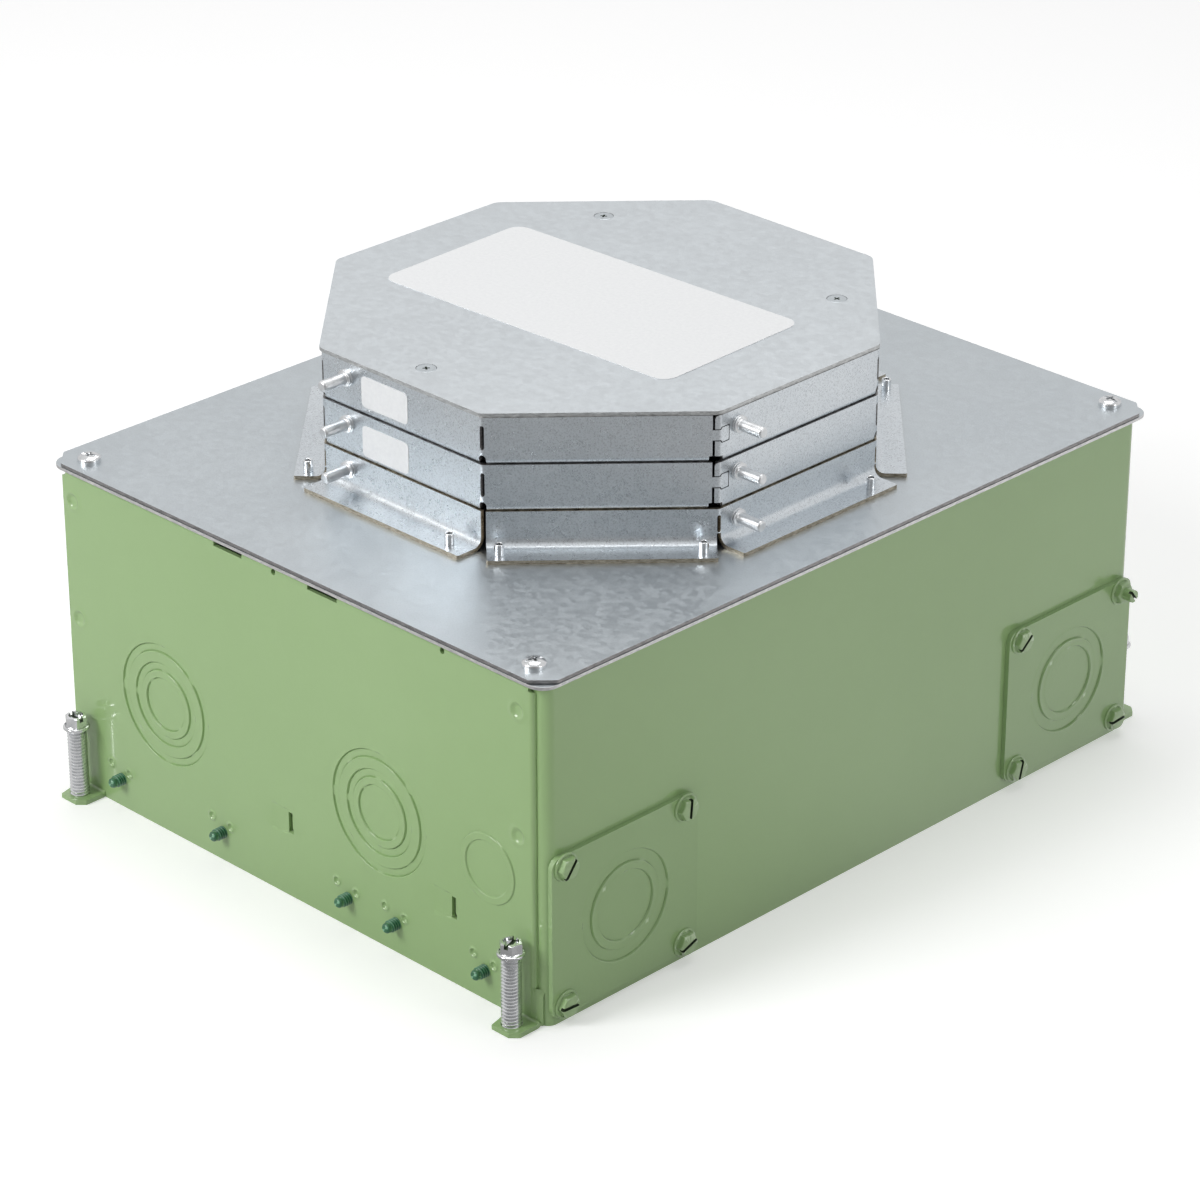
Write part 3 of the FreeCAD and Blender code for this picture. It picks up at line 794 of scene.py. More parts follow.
def hex_head(across, height, washer, rise, ease):
    """Hexagon with a washer face below it, standing on z = 0."""
    flat = across / 2

    def reach(a):
        return flat / math.cos(a % (math.pi / 3) - math.pi / 6)

    def side(shrink, up):
        return lambda a: (reach(a) - shrink, up - max(0.0, reach(a) - shrink - flat) * 0.55)

    profile = soften([(0, 0), (washer, 0), (washer - 0.05, rise * 0.75), (washer - 0.7, rise)], 0.2)
    profile += [side(-0.25, rise + 0.02), side(0.0, rise + 0.3), side(0.0, height - ease * 1.5),
                side(ease * 0.3, height - ease * 0.5), (flat - ease, height), (0, height)]
    return lathe(profile)


def cross_recess(width, span_across, depth, top):
    """Two crossing wedges for a cross recess, as one cutter each."""
    wedges = []
    for turn in (0.0, math.pi / 2):
        wedge = block((span_across, width, depth * 2), (0, 0, top), turn)
        for v in wedge.verts:
            if v.co.z < top:
                v.co.x *= 0.55
                v.co.y *= 0.55
        wedges.append(wedge)
    return wedges


def stand_along(axis, place):
    """Matrix that takes the Z axis to the given direction and the origin to the place."""
    turn = Vector((0, 0, 1)).rotation_difference(Vector(axis))
    return Matrix.Translation(place) @ turn.to_matrix().to_4x4()


print("a hex head has", face_count(hex_head(across=8.0, height=3.4, washer=5.7, rise=1.0, ease=0.4)), "faces")

# %% [markdown]
# ## End panels
# The end panel carries most of the detail: two nested knockouts, a smaller raised one, two lanced
# slots that locate the partitions, and spot welds along both upright edges. Its top folds in to carry
# the lid, and the edge at the seam folds back beside the rounded corner of the long side.

# %% Places on the end panel
PANEL_LEFT = -(half_width - 1.3)
SEAM = half_width - 5.0       # where the face would end if its fold were sharp
TOP_BEND = 3.0
SEAM_BEND = 1.5
BEND_START = SEAM - SEAM_BEND
TOP_START = box_height - TOP_BEND
RETURN = 16.0                 # how far the folded top reaches in
WELD_FOOT = 15.0              # the seam is welded up to here
NOTCHES = ((-42.2, -26.2), (10.2, 26.2))
NOTCH_FLOOR = box_height - 3.8
GROUND_SCREWS = (-104.0, -43.5, 28.0, 54.5, 102.0)
GROUND_HEIGHT = 12.5
PIPS = ((-5.9, 5.2), (4.7, 3.9))
KNOCKOUT_HEIGHT = 56.0
WIDE_KNOCKOUTS = (-75.1, 46.2)
RAISED_KNOCKOUT = 104.0
WELD_SPOTS = ((-125.4, 126.0), (-125.4, 75.6), (120.0, 126.0), (120.0, 75.6))
EYELETS = (-8.6, 81.9)
LANCES = (-4.0, 85.5)
LANCE_LOW, LANCE_HIGH = 27.6, 36.6
LANCE_PAD = 10.0              # width of the pad that is pressed in beside a lanced slot
print("panel from", round(PANEL_LEFT, 1), "to the seam at", round(SEAM, 1))

# %% [markdown]
# ## One panel for both ends
# The blank is drawn unfolded, with the notches in its top edge. It is punched and pressed flat, then
# its top and its right-hand edge are folded back. The rear panel is the same one seen in a mirror.

# %% One panel for both ends


def end_panel_blank():
    """Outline of the unfolded panel, counterclockwise, in the plane of the face."""
    reach = TOP_START + TOP_BEND * math.pi / 2 + RETURN - TOP_BEND
    side = BEND_START + SEAM_BEND * math.pi / 2 + 0.6
    points = [(PANEL_LEFT, 0), (BEND_START, 0), (BEND_START, WELD_FOOT), (side, WELD_FOOT + 0.8),
              (side, TOP_START - 1.0), (BEND_START - 0.5, TOP_START - 0.4), (BEND_START - 0.5, reach)]
    for left, right in reversed(NOTCHES):
        points += [(right, reach), (right, NOTCH_FLOOR), (left, NOTCH_FLOOR), (left, reach)]
    return points + [(-half_width + 2 * SHEET, reach), (-half_width + 2 * SHEET, TOP_START - 0.4),
                     (PANEL_LEFT, TOP_START - 0.6)]


def end_panel():
    """Punched, pressed and folded panel that faces the front."""
    patches = [((x, KNOCKOUT_HEIGHT), *wide_knockout) for x in WIDE_KNOCKOUTS]
    patches.append(((RAISED_KNOCKOUT, KNOCKOUT_HEIGHT), *raised_knockout, 80))
    patches += [(spot, *weld_spot, 32) for spot in WELD_SPOTS]
    patches += [((x + dx, GROUND_HEIGHT + dz), *screw_pip, 20) for x in GROUND_SCREWS for dx, dz in PIPS]
    holes = [circle(x, box_height - 3.2, 1.2, 20) for x in EYELETS]
    holes += [circle(x, GROUND_HEIGHT, 2.5, 32) for x in GROUND_SCREWS]
    holes += [rounded_box(x - 1.3, x + 1.9, LANCE_LOW, LANCE_HIGH, 0.4, 3) for x in LANCES]
    bm = punch(end_panel_blank(), holes, patches)
    up, right = Vector((0, 0, 1)), Vector((1, 0, 0))
    crease_lines(bm, up, bend_places(TOP_START, TOP_BEND))
    crease_lines(bm, right, bend_places(BEND_START, SEAM_BEND))
    for x in LANCES:
        crease_lines(bm, right, (x - LANCE_PAD - 0.6, x - LANCE_PAD, x - 1.3))
    crease_lines(bm, up, (LANCE_LOW - 0.9, LANCE_LOW - 0.3, LANCE_HIGH + 0.3, LANCE_HIGH + 0.9))
    for v in bm.verts:
        if v.co.x > BEND_START and v.co.z > WELD_FOOT:
            on, back = fold_back(v.co.x - BEND_START, SEAM_BEND)
            v.co.x = BEND_START + on
            v.co.y += back
        elif v.co.z > TOP_START:
            on, back = fold_back(v.co.z - TOP_START, TOP_BEND)
            v.co.z = TOP_START + on
            v.co.y += back
        for x in LANCES:
            into_pad = v.co.x - (x - LANCE_PAD)
            if -0.01 < into_pad < LANCE_PAD - 1.2 and LANCE_LOW - 0.4 < v.co.z < LANCE_HIGH + 0.4:
                v.co.y += 0.35 + 0.25 * into_pad / LANCE_PAD
    thicken(bm, SHEET)
    bmesh.ops.translate(bm, verts=bm.verts, vec=(0, -half_length, 0))
    return bm


set_down("front_end_panel_skin", end_panel(), PAINTED, "box", "front_end_panel")
mirrored = end_panel()
bmesh.ops.scale(mirrored, verts=mirrored.verts, vec=(1, -1, 1))
bmesh.ops.reverse_faces(mirrored, faces=mirrored.faces)
set_down("rear_end_panel_skin", mirrored, PAINTED, "box", "rear_end_panel")

# %% [markdown]
# ## Seam weld
# Below the folded edge the panel is welded to the long side and ground smooth, which leaves a soft
# hollow fillet in front of the corner.

# %% Seam weld


def seam_weld(end, steps=8):
    """Short upright fillet that closes the lowest part of the seam and runs out at its top."""
    bm = bmesh.new()
    rows = []
    for z in (0.3, 2.0, WELD_FOOT - 3.0, WELD_FOOT - 1.4, WELD_FOOT - 0.5, WELD_FOOT):
        shrink = max(0.0, (z - (WELD_FOOT - 3.0)) / 3.0) ** 2
        run = []
        for k in range(steps + 1):
            t = k / steps
            x = BEND_START - 0.2 + t * 4.6
            y = half_length - 0.02 - 0.25 * math.sin(math.pi * t) - 1.7 * t ** 3 - 1.2 * shrink * (0.3 + t)
            run.append(bm.verts.new((x, end * y, z)))
        rows.append(run)
    for lower, upper in zip(rows, rows[1:]):
        for k in range(steps):
            corners = (lower[k], lower[k + 1], upper[k + 1], upper[k])
            bm.faces.new(corners if end < 0 else corners[::-1])
    return thicken(bm, 1.0, 0)


for end, name in ((-1, "front_seam_weld"), (1, "rear_seam_weld")):
    set_down(name, seam_weld(end), PAINTED, "box")

# %% [markdown]
# ## Partitions
# Two folded sheets divide the box. Each has a foot on the floor and a flange at both ends; its edge
# shows in the lanced slot of the end panel, where it is located.

# %% Partitions


def partition(node):
    """Upright wall with a foot, an end flange at both ends, and a tongue for each lanced slot."""
    low, high = span(node)
    middle, size = (low + high) / 2, high - low
    sheet, foot, flange_low = 1.2, 10.6, 44.0
    wall = low.x + sheet / 2
    bm = bmesh.new()
    join_in(bm, block((sheet, size.y, size.z), (wall, middle.y, middle.z)))
    join_in(bm, block((foot, size.y, sheet), (low.x + foot / 2, middle.y, low.z + sheet / 2)))
    for y in (low.y + sheet / 2, high.y - sheet / 2):
        join_in(bm, block((size.x, sheet, high.z - flange_low), (middle.x, y, (high.z + flange_low) / 2)))
    for end in (-1, 1):
        join_in(bm, block((sheet, 2.4, 8.0), (wall, end * (high.y + 0.9), 32.2)))
    bmesh.ops.bevel(bm, geom=bm.edges[:], offset=0.2, segments=1, affect="EDGES", clamp_overlap=True)
    return bm


for node in ("left_partition", "right_partition"):
    set_down(node + "_sheet", partition(node), PAINTED, "box", node)

# %% [markdown]
# ## Ground screws
# Five screws come through each end panel from inside and are painted dark green, the colour that
# marks a ground. Thread shows for most of the length, and the end is turned down to a plain point.

# %% Ground screws


def ground_screw():
    bm = thread(2.5, 0.6, 1.05, 4.5, 0.3, 28)
    point = lathe(soften([(0, 0), (2.05, 0), (2.05, 1.3), (1.5, 2.0), (0, 2.0)], 0.25), 28)
    join_in(bm, point, shifted(0, 0, 4.4))
    return bm


for end, node in ((-1, "front_ground_screws"), (1, "rear_ground_screws")):
    batch = bmesh.new()
    for x in GROUND_SCREWS:
        root = (x, end * (half_length - 0.4), GROUND_HEIGHT)
        join_in(batch, ground_screw(), stand_along((0, end, 0), root))
    set_down(node + "_turned", batch, [dark_green], "box", node)

# %% [markdown]
# ## Side plates
# The plate covers a window in the long side and can be swapped for one with other knockouts. It is
# thicker than the wall, its corners are round, and paint has softened every edge.

# %% Side plates
side_knockout = knockout((44.0, 34.9, 28.2), ((0, 180), (60, 240), (90, 270)),
                         depth=0.7, shear=0.28, crack=0.18, lip=0.12)
PLATE_HOLES = ((-30.7, -28.5), (-30.7, 28.5), (30.7, -28.5), (30.7, 28.5))
# How far each screw happened to be turned, in degrees, by corner of the plate
SLOT_TURNS = {"front_right": (-3, 52, 20, 85), "rear_right": (76, 40, 4, -53),
              "front_left": (15, 70, 110, -35), "rear_left": (60, -20, 32, 140)}


def side_plate(low, high, outward):
    """Plate in the X-Z plane facing -Y, then turned so that it faces the given side."""
    middle, half = (low + high) / 2, (high - low) / 2
    bm = punch(rounded_box(-half.y, half.y, -half.z, half.z, 4.5, 8), [], [((0, 0), *side_knockout)])
    thicken(bm, half.x * 2, 0.4, 3)
    face = high.x if outward > 0 else low.x
    bm.transform(shifted(face, middle.y, middle.z) @ turned(outward * math.pi / 2))
    return bm


def plate_screw(turn, loose=False):
    """Washer head with a driver slot; a loose one is a nut with a slotted stub standing out of it."""
    top = 3.4
    head = hex_head(across=8.0, height=top, washer=5.7, rise=1.0, ease=0.4)
    if loose:
        stub = lathe(soften([(0, 0.5), (2.6, 0.5), (2.6, 7.4), (0, 7.4)], 0.3))
        join_in(head, carve(stub, block((6, 1.2, 3.0), (0, 0, 7.4), turn)))
    else:
        head = carve(head, block((12, 1.35, 2.8), (0, 0, top), turn))
    sharp = [e for e in head.edges if len(e.link_faces) == 2 and e.calc_face_angle(0) > 0.6]
    bmesh.ops.bevel(head, geom=sharp, offset=0.12, segments=1, affect="EDGES", clamp_overlap=True)
    return head


for corner, side, _ in CORNERS:
    plate_low, plate_high = span("knockout_plate_" + corner)
    set_down("side_plate_skin_" + corner, side_plate(plate_low, plate_high, side),
             [green_over_screws, green_over_screws], "side_plate_" + corner, "knockout_plate_" + corner)
    middle = (plate_low + plate_high) / 2
    face = plate_high.x if side > 0 else plate_low.x
    upright = Matrix(((0, 0, side), (side, 0, 0), (0, 1, 0))).to_4x4()
    batch = bmesh.new()
    for k, (dy, dz) in enumerate(PLATE_HOLES):
        loose = corner == "rear_right" and k == 3
        join_in(batch, plate_screw(math.radians(SLOT_TURNS[corner][k]), loose),
                shifted(face - side * 0.1, middle.y + dy, middle.z + dz) @ upright)
    # the slot faces carry the near-black painted slot shade
    set_down("plate_screw_heads_" + corner, batch, [green_over_screws, slot_shadow],
             "side_plate_" + corner, "plate_screws_" + corner, 30)

# %% [markdown]
# ## Foot brackets
# The bracket is a strip folded once. Its upright back lies against the end panel and is held by a
# line of weld beside it, and its tab is drilled for a levelling screw.

# %% Foot brackets


def foot_bracket(low, high, end, drilled):
    """Blank upright in X-Z, chamfered tab at its lower end, then folded out; drilled is the hole's x."""
    thickness, bend, chamfer, clear = 2.0, 1.6, 3.0, 0.1
    arc = bend * math.pi / 2
    reach = abs(high.y - low.y) - clear - bend
    tab_low, tab_high, tip = drilled - 7.35, drilled + 7.35, -(arc + reach)
    left, right, top = drilled - 5.0, drilled + 4.5, high.z - thickness - bend
    outline = [(tab_low + chamfer, tip), (tab_high - chamfer, tip), (tab_high, tip + chamfer),
               (tab_high, -arc * 0.5), (right, -0.2), (right, top - 2.0), (right - 2.0, top),
               (left + 2.0, top), (left, top - 2.0), (left, -0.2), (tab_low, -arc * 0.5)]
    bm = punch(outline, [circle(drilled, -arc - (reach - 5.9), 4.0, 24)])
    crease_lines(bm, Vector((0, 0, -1)), bend_places(0.0, bend))
    for v in bm.verts:
        on, outwards = fold_back(-v.co.z, bend)
        v.co.z = thickness + bend - on
        v.co.y = -outwards
    bmesh.ops.recalc_face_normals(bm, faces=bm.faces)
    upright = max(bm.faces, key=lambda f: f.calc_center_median().z)
    if upright.normal.y > 0:
        bmesh.ops.reverse_faces(bm, faces=bm.faces)
    thicken(bm, thickness, 0.25, 3)
    seam = drilled - (-9.6 if drilled < 0 else 9.6)
    beads = 34
    for k in range(beads):
        bead = lathe([(0, -0.25), (0.5, -0.15), (0.75, 0.1), (0.45, 0.32), (0, 0.38)], 8)
        join_in(bm, bead, shifted(seam, 0.1, 6.0 + k * (high.z - 8.0) / beads) @ turned(math.pi / 2, "X"))
    root = low.y + clear if end > 0 else high.y - clear
    bm.transform(shifted(0, root, 0) @ Matrix.Diagonal((1, -end, 1, 1)))
    return bm


print("a foot folds over", round(bend_places(0.0, 1.6)[-1], 2), "mm of its strip")

# %% [markdown]
# ## Levelling screws
# A long screw with a washer head stands in every foot, so the box can be set level before the pour.
# Its thread shows for the whole height of the foot. Foot and screw are set down together.

# %% Levelling screws
LEVEL_HEAD = 5.5


def levelling_screw(length):
    """Threaded rod that hangs below its washer head; the head has a round recess and a slot."""
    rod = thread(3.9, 0.75, 1.41, length, 0.9, 32)
    rod.transform(turned(math.pi, "X"))
    head = carve(hex_head(across=7.9, height=LEVEL_HEAD, washer=5.3, rise=1.2, ease=0.45),
                 lathe([(0, 4.1), (2.6, 4.1), (2.9, 5.6), (0, 5.6)], 28),
                 block((11, 1.6, 3.6), (0, 0, LEVEL_HEAD), 0.5))
    for face in head.faces:
        face.material_index = min(face.material_index, 1)
    join_in(rod, head)
    return rod


for corner, side, end in CORNERS:
    low, high = span("foot_bracket_" + corner)
    screw_low, screw_high = span("levelling_screw_" + corner)
    axis = (screw_low + screw_high) / 2
    bm = foot_bracket(low, high, end, axis.x)
    if end > 0:
        bmesh.ops.reverse_faces(bm, faces=bm.faces)
    set_down("foot_" + corner, bm, PAINTED, "box", "foot_bracket_" + corner)
    seat = screw_high.z - LEVEL_HEAD
    screw = levelling_screw(seat - screw_low.z)
    screw.transform(shifted(axis.x, axis.y, seat) @ turned(0.4 + side))
    # the slot faces carry the near-black painted slot shade
    set_down("levelling_screw_cut_" + corner, screw, [bright_zinc, slot_shadow], "foot_screw_" + corner,
             "levelling_screw_" + corner, 30)

# %% [markdown]
# ## Lid plates
# Two flat plates close the box. The lower one has round corners and the upper one has cut corners,
# so a sliver of the lower plate shows at each corner. Their edges were sheared and stay bare steel.
# The real plates are cut out inside the collar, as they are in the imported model. The sheets made here
# are left whole, which shows once the cover is lifted.

# %% Lid plates
CUT_EASE = 0.15      # how far a sheared edge is rounded
LID_GAP = 0.15       # half of the dark joint between the two plates


def flat_plate(outline, thickness, top, holes=()):
    """Sheet lying flat with its top at the given height."""
    bm = punch(outline, holes)
    bm.transform(turned(-math.pi / 2, "X"))
    bmesh.ops.recalc_face_normals(bm, faces=bm.faces)
    if bm.faces[0].normal.z < 0:
        bmesh.ops.reverse_faces(bm, faces=bm.faces)
    thicken(bm, thickness, CUT_EASE)
    bmesh.ops.translate(bm, verts=bm.verts, vec=(0, 0, top))
    return bm


def rounded_corners(corners, radius, steps=3):
    """A closed outline with every corner rounded."""
    ahead = corners[1:] + corners[:1]
    return [point for k, corner in enumerate(corners)
            for point in soften([corners[k - 1], corner, ahead[k]], radius, steps)[1:-1]]


lid_low, lid_high = span("lower_lid_plate")
outline = rounded_box(lid_low.x, lid_high.x, lid_low.y, lid_high.y, 7, 8)
# The lower plate's cut edge gets the lighter steel, a painted sheen.
set_down("lower_lid_sheet", flat_plate(outline, lid_high.z - lid_low.z - LID_GAP, lid_high.z - LID_GAP),
         [lid_zinc, sheen_painted_edge], "lid", "lower_lid_plate")
lid_low, lid_high = span("upper_lid_plate")
clip = 7.5
outline = [(lid_high.x, lid_high.y - clip), (lid_high.x - clip, lid_high.y), (lid_low.x + clip, lid_high.y),
           (lid_low.x, lid_high.y - clip), (lid_low.x, lid_low.y + clip), (lid_low.x + clip, lid_low.y),
           (lid_high.x - clip, lid_low.y), (lid_high.x, lid_low.y + clip)]
sheet = flat_plate(rounded_corners(outline, 0.8), lid_high.z - lid_low.z - LID_GAP, lid_high.z)
set_down("upper_lid_sheet", sheet, [lid_zinc, bare_edge], "lid", "upper_lid_plate")

# %% [markdown]
# ## Lid screws
# Round heads hold the plates down at the corners. The drive is a cross with one long arm, so a flat
# driver fits too, and each head stops at its own angle.

# %% Lid screws


def pan_head(diameter, height):
    """Low cylinder under a dome, with a cross recess and a slot."""
    r, rim = diameter / 2, height * 0.38
    profile = [(0, -0.3), (r - 0.1, -0.3), (r, 0.3), (r, rim)]
    profile += [(r * math.cos(a) ** 0.8, rim + height * 0.62 * math.sin(a))
                for a in (math.pi / 2 * k / 8 for k in range(1, 8))] + [(0, height)]
    return carve(lathe(profile), *cross_recess(1.5, 5.0, 1.7, height),
                 block((diameter * 1.1, 1.0, 1.4), (0, 0, height)))


batch = bmesh.new()
for k, (_, side, end) in enumerate(CORNERS):
    join_in(batch, pan_head(9.2, 3.0), shifted(side * 122, end * 159, lid_top) @ turned(0.35 + 0.9 * k))
set_down("lid_screw_heads", batch, [bright_zinc, bright_zinc], "lid", "lid_screws", 30)

# %% [markdown]
# ## Collar: the path of a band
# Every ring of the collar is one strip bent eight times around the same octagon. The strip is drawn
# flat, with its length along the octagon as one coordinate and its height as the other; the map
# below takes that drawing around the corners.

# %% The path of a band
ring_low, ring_high = span("lower_extension_ring")
CENTRE = (ring_high + ring_low) / 2
WALL_X, WALL_Y = ring_high.x - CENTRE.x, ring_high.y - CENTRE.y
HALF_EDGE = 43.3     # half the length of a wall, between the octagon's sharp corners
BEND = 2.2
OCTAGON = [Vector((CENTRE.x + x, CENTRE.y + y)) for x, y in (
    (WALL_X, -HALF_EDGE), (WALL_X, HALF_EDGE), (HALF_EDGE, WALL_Y), (-HALF_EDGE, WALL_Y),
    (-WALL_X, HALF_EDGE), (-WALL_X, -HALF_EDGE), (-HALF_EDGE, -WALL_Y), (HALF_EDGE, -WALL_Y))]


class Band:
    """Strip around the octagon, starting just after its first corner, counterclockwise from above."""

    def __init__(self, corners, radius):
        self.radius, self.flats, self.bends, self.legs = radius, [], [], []
        place = 0.0
        count = len(corners)

        def turn(k):
            here = corners[k % count]
            return (here - corners[k - 1]).angle(corners[(k + 1) % count] - here)

        for k in range(count):
            start, stop = corners[k], corners[(k + 1) % count]
            along = (stop - start).normalized()
            first, last = (radius * math.tan(turn(n % count) / 2) for n in (k, k + 1))
            length = (stop - start).length - first - last
            self.flats.append((place, place + length))
            self.legs.append((place, place + length, start + along * first, along, 0.0))
            place += length
            arc = radius * turn((k + 1) % count)
            self.bends.append((place, place + arc))
            self.legs.append((place, place + arc, stop - along * last, along, turn((k + 1) % count)))
            place += arc
        self.length = place

    def at(self, s):
        """Point on the outside of the wall, and the outward direction there."""
        s %= self.length
        for start, stop, point, along, turn in self.legs:
            if s <= stop + 1e-9:
                break
        t = s - start
        out = Vector((along.y, -along.x))
        if not turn:
            return point + along * t, out
        a = t / self.radius
        centre = point - out * self.radius
        out = Matrix.Rotation(a, 2) @ out
        return centre + out * self.radius, out

    def creases(self, steps=4):
        return [a + (b - a) * k / steps for a, b in self.bends for k in range(steps + 1)]


def wrap(bm, band, base, bend, outwards):
    """Fold the blank's lower strip in or out, then bend the wall around the octagon."""
    side = 1 if outwards else -1
    for v in bm.verts:
        on, off = fold_back(-v.co.z, bend)
        point, out = band.at(v.co.x)
        point = point + out * (off * side - v.co.y)
        v.co = (point.x, point.y, base - on)


def crease_blank(bm, band, bend):
    """Crease lines for every corner of the band, for the overlap before its start, and for its lip."""
    arc = band.bends[-1][1] - band.bends[-1][0]
    crease_lines(bm, Vector((1, 0, 0)), band.creases() + [-arc * k / 4 for k in range(5)])
    crease_lines(bm, Vector((0, 0, -1)), bend_places(0.0, bend, 4))


band = Band(OCTAGON, BEND)
print("band length", round(band.length, 1), "flats", [round(b - a, 1) for a, b in band.flats])

# %% [markdown]
# ## Extension rings
# A ring raises the collar by the height of its wall. The lower edge turns in to sit on the ring
# below, with a relief hole at each corner where three surfaces would meet. The ends of the strip lock
# together at one corner: a small tab of the last wall hooks into a notch of the first.

# %% Extension rings
RING_BEND = 2.0
LIP = 7.0
SEAM_BACK = 2.0      # the seam lies on the last wall, this far before its bend
SEAM_GAP = 0.9
NECK, REACH = 3.2, 7.2   # where the hook widens and where it ends, from the seam
WAIST = 0.8          # how much narrower the hook's neck is on either side
PLAY = 0.35          # clearance of the notch around the hook
RELIEF = 0.35        # how far a relief hole reaches into the flats beside its bend


def ring_blank(height):
    """Outline and slots of an extension ring; height is measured from the bend line to the top."""
    depth = RING_BEND * math.pi / 2 + LIP - RING_BEND
    taper = (LIP - RING_BEND) * 0.42 + 0.4
    points = []
    for k, (a, b) in enumerate(band.flats):
        left, right = a + 0.35, b - (0.35 if k < 7 else SEAM_BACK + 1.0)
        points += [(left + 0.2, 0.5), (left + 0.3, -1.0), (left + taper, -depth),
                   (right - taper, -depth), (right - 0.3, -1.0), (right - 0.2, 0.5)]
        if k < 7:
            middle, r = sum(band.bends[k]) / 2, (band.bends[k][1] - band.bends[k][0]) / 2 + RELIEF
            points += [(middle - r * math.cos(t), 0.5 + r * 1.15 * math.sin(t))
                       for t in (math.pi * n / 8 for n in range(1, 8))]
    last, arc = band.flats[-1][1] - SEAM_BACK, band.bends[-1][1] - band.bends[-1][0] + SEAM_BACK
    low, high = height * 0.36, height * 0.70
    hook = [(0, low + WAIST), (NECK, low + WAIST), (NECK + 0.5, low), (REACH - 0.3, low),
            (REACH, low + 0.4), (REACH, high - 0.4), (REACH - 0.3, high), (NECK + 0.5, high),
            (NECK, high - WAIST), (0, high - WAIST)]
    points += [(last, 0.6)] + [(last + s, v) for s, v in hook] + [(last, height)]
    first, neck, wide, end = SEAM_GAP - arc, NECK - arc - PLAY, NECK + 0.5 - arc - PLAY, REACH - arc + PLAY
    notch = [(first, high - WAIST + PLAY), (neck, high - WAIST + PLAY), (wide, high + PLAY),
             (end, high + PLAY), (end, low - PLAY), (wide, low - PLAY), (neck, low + WAIST - PLAY),
             (first, low + WAIST - PLAY)]
    points += [(first + 1.6, height), (first + 0.4, height - 0.5), (first, height - 1.5)]
    points += notch + [(first, 0.6)]
    slots = [slot_outline((a + b) / 2, height * 0.52, 1.7, 9.6, 4) for a, b in band.bends[:-1]]
    return points, slots


def extension_ring(base, top):
    """Folded ring, with a locating tab welded inside four of its walls."""
    points, slots = ring_blank(top - base - RING_BEND)
    bm = punch(points, slots)
    crease_blank(bm, band, RING_BEND)
    wrap(bm, band, base + RING_BEND, RING_BEND, False)
    thicken(bm, SHEET, CUT_EASE)
    for x, y, wide, deep in ((0, WALL_Y, 14, SHEET), (0, -WALL_Y, 14, SHEET), (WALL_X, 0, SHEET, 14),
                             (-WALL_X, 0, SHEET, 14)):
        inward = 1 - 2.75 * SHEET / max(abs(x), abs(y))
        join_in(bm, block((wide, deep, 7.0), (CENTRE.x + x * inward, CENTRE.y + y * inward, base - 2.5)))
    return bm


seat = span("collar_base_ring")[1].z
for name, body in (("lower_extension_ring", "lower_ring"), ("upper_extension_ring", "upper_ring")):
    rim = span(name)[1].z
    set_down(name + "_folded", extension_ring(seat, rim), [collar_zinc, bare_edge], body, name)
    seat = rim

# %% [markdown]
# ## Base ring
# The lowest ring turns out instead of in. Its eight flanges lie on the lid, each cut square to its
# wall, so they leave open wedges at the corners. The bend is tight and burnished by the tool, which
# makes it the brightest line of the collar.

# %% Base ring
BASE_BEND = 3.6
FLANGE = 12.0        # from the outside of the wall to the flange's edge


def base_ring():
    """Ring folded outwards, with its seam at the corner before the first wall."""
    low, high = span("collar_base_ring")
    strip = Band(OCTAGON[-1:] + OCTAGON[:-1], BEND)
    floor = low.z + SHEET
    height = high.z - floor - BASE_BEND
    depth = BASE_BEND * math.pi / 2 + FLANGE - BASE_BEND
    seam = 0.3
    points = []
    for k, (a, b) in enumerate(strip.flats):
        left, right = (seam if k == 0 else a), b
        points += [(left, 0.8), (left, -depth + 0.5), (left + 0.5, -depth), (right - 0.5, -depth),
                   (right, -depth + 0.5), (right, 0.8)]
    points += [(strip.flats[-1][1], height), (seam, height)]
    slots = [slot_outline((a + b) / 2, height - 6.0, 1.5, 7.0, 4) for a, b in strip.bends[:-1]]
    bm = punch(points, slots)
    crease_lines(bm, Vector((1, 0, 0)), strip.creases())
    crease_lines(bm, Vector((0, 0, -1)), bend_places(0.0, BASE_BEND))
    wrap(bm, strip, floor + BASE_BEND, BASE_BEND, True)
    return thicken(bm, SHEET, CUT_EASE)


set_down("collar_base_ring_folded", base_ring(), [collar_zinc, flange_edge], "lid", "collar_base_ring")

# %% [markdown]
# ## Studs
# A headed stud on each long wall of every ring bites into the concrete. It is pressed through the
# sheet, turned and plated, and duller than the screws.

# %% Studs
STUD_X, STUD_Y, STUD_DROP = 29.4, 33.7, 6.2


def stud():
    """Headed stud with a collar where it is pressed into the wall."""
    profile = [(0, 0), (3.5, 0), (3.5, 0.55), (2.9, 0.7), (2.9, 0.95), (3.4, 1.1), (3.4, 1.6), (2.35, 1.75),
               (2.25, 2.0), (2.25, 12.0), (1.9, 12.6), (1.6, 12.8), (0, 12.75)]
    return lathe(soften(profile, 0.15, 2), 40)


def studs(node, body, top):
    """One stud on each of the four long walls, a little below the rim of its ring."""
    batch = bmesh.new()
    for x, y, axis in ((-STUD_X, -WALL_Y, (0, -1, 0)), (STUD_X, WALL_Y, (0, 1, 0)),
                       (WALL_X, -STUD_Y, (1, 0, 0)), (-WALL_X, STUD_Y, (-1, 0, 0))):
        join_in(batch, stud(), stand_along(axis, (CENTRE.x + x, CENTRE.y + y, top - STUD_DROP)))
    set_down(node + "_turned", batch, [satin_zinc], body, node)


for node, body, ring in (("base_ring_studs", "lid", "collar_base_ring"),
                         ("lower_ring_studs", "lower_ring", "lower_extension_ring"),
                         ("upper_ring_studs", "upper_ring", "upper_extension_ring")):
    studs(node, body, span(ring)[1].z)
    print(node, [tuple(round(c, 1) for c in v) for v in span(node)])


# %% [markdown]
# ## Set screws
# Hollow set screws stand in the flanges, near one end of each wall. The diagonal wall at the front
# right has a second one at its other end.

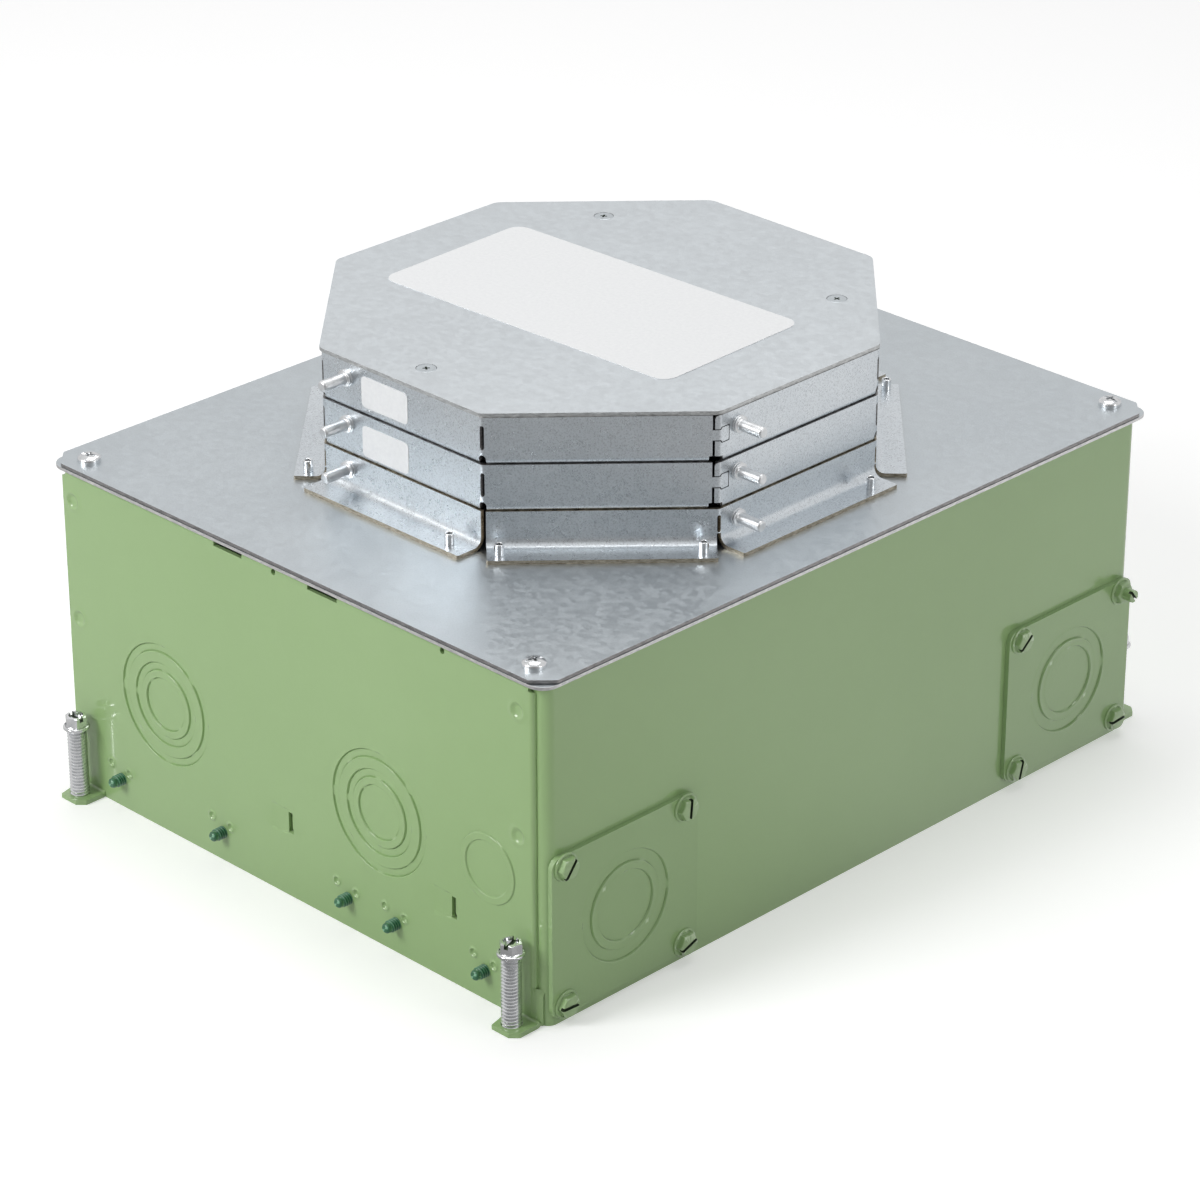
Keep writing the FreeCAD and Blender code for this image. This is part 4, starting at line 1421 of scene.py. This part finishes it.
# %% Set screws
SCREW_OUT = 6.9      # from the wall
LONG_INSET, DIAGONAL_INSET = 10.5, 6.0


def set_screw(height):
    profile = [(0, 0), (1.9, 0), (1.9, height - 0.4), (1.65, height), (1.3, height), (1.1, height - 0.3),
               (1.1, height - 2.6), (0, height - 2.6)]
    return lathe(soften(profile, 0.12, 1), 28)


def wall_frame(k):
    """Start of the octagon's wall k, its direction, the outward direction and its length."""
    start, stop = OCTAGON[k], OCTAGON[(k + 1) % 8]
    along = (stop - start).normalized()
    return start, along, Vector((along.y, -along.x)), (stop - start).length


screw_low, screw_high = span("collar_set_screws")
batch = bmesh.new()
for k in range(8):
    start, along, out, length = wall_frame(k)
    diagonal = min(abs(along.x), abs(along.y)) > 0.1
    insets = [length - (DIAGONAL_INSET if diagonal else LONG_INSET)]
    if out.x > 0.1 and out.y < -0.1:
        insets.append(DIAGONAL_INSET)
    for inset in insets:
        spot = start + along * inset + out * SCREW_OUT
        join_in(batch, set_screw(screw_high.z - screw_low.z), shifted(spot.x, spot.y, screw_low.z))
set_down("collar_set_screws_turned", batch, [bright_zinc], "lid", "collar_set_screws", 30)

# %% [markdown]
# ## Pour cover
# The cover closes the collar while the concrete is poured. Small nibs are left on its front edge
# where it was held in the sheet. The screws sink in with their heads just below the surface.

# %% Pour cover
cover_low, cover_high = span("pour_cover")


def octagon_outline(outset, radius):
    """Octagon around the collar walls, grown by the outset and with round corners."""
    corners = []
    for k in range(8):
        half = (wall_frame(k - 1)[2] + wall_frame(k)[2]) / 2
        corners.append(tuple(OCTAGON[k] + half / half.length_squared * outset))
    return rounded_corners(corners, radius * 0.42, 6)


COVER_SCREWS = ((-64.2, 63.0), (60.5, 64.7), (-2.4, -92.7))
NIBS = ((8.0, 1.4), (56.0, 1.2), (80.0, 7.0))   # place along the front edge and length
OVERHANG = (cover_high.x - cover_low.x) / 2 - WALL_X
shift = (cover_low + cover_high) / 2 - CENTRE
outline = [(x + shift.x, y + shift.y) for x, y in octagon_outline(OVERHANG, 6)]
print("cover overhang", round(OVERHANG, 2), "shift", [round(v, 2) for v in shift.xy])
sheet = flat_plate(outline, cover_high.z - cover_low.z, cover_high.z,
                   [circle(x, y, 4.0, 40) for x, y in COVER_SCREWS])
start, along, out, _ = wall_frame(7)
heading = math.atan2(along.y, along.x)
for place, length in NIBS:
    spot = start + shift.xy + along * place + out * OVERHANG
    join_in(sheet, block((length, 0.7, 0.9), (spot.x, spot.y, cover_low.z + 0.6), heading))
set_down("pour_cover_sheet", sheet, [cover_zinc, cover_edge], "cover", "pour_cover")


# %% [markdown]
# ## Cover screws
# Countersunk heads with a cross recess, dull, with a near-black painted shade in the cross.

# %% Cover screws


def flat_head():
    profile = [(0, -2.5), (1.5, -2.5), (1.6, -2.2), (3.75, -0.35), (3.85, -0.15), (3.7, -0.05), (0, -0.05)]
    return carve(lathe(profile), *cross_recess(1.0, 3.6, 1.8, -0.05))


batch = bmesh.new()
for k, (x, y) in enumerate(COVER_SCREWS):
    join_in(batch, flat_head(), shifted(x, y, cover_high.z) @ turned(0.5 + k))
set_down("cover_screw_heads", batch, [lid_zinc, slot_shadow], "cover", "cover_screws", 30)

# %% [markdown]
# ## Labels
# Plain white film with round corners, a tenth of a millimetre proud. They carry no words.

# %% Labels


LABEL_LENGTH, LABEL_WIDTH = 148.5, 76.5
LABEL_TURN = math.radians(2)   # it was stuck on a little askew
FILM = (label_white, label_white)

low, high = span("cover_label")
middle = (low + high) / 2
half_x, half_y = LABEL_LENGTH / 2, LABEL_WIDTH / 2
bm = thicken(punch(rounded_box(-half_x, half_x, -half_y, half_y, 6, 8)), high.z - low.z, 0)
bm.transform(shifted(middle.x, middle.y, high.z) @ turned(LABEL_TURN) @ turned(-math.pi / 2, "X"))
set_down("cover_label_film", bm, FILM, "cover", "cover_label")
for node, body in (("lower_ring_label", "lower_ring"), ("upper_ring_label", "upper_ring")):
    low, high = span(node)
    bm = thicken(punch(rounded_box(low.x, high.x, low.z, high.z, 2)), high.y - low.y, 0)
    bm.transform(shifted(0, low.y, 0))
    set_down(node + "_film", bm, FILM, body, node)

# %% [markdown]
# ## Box body
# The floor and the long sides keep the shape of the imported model, which already has every bend and
# window. They only need their paint.

# %% Box body
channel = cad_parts["body_channel"].data
channel.materials.clear()
channel.materials.append(green_enamel)
print("box body painted with", channel.materials[0].name)
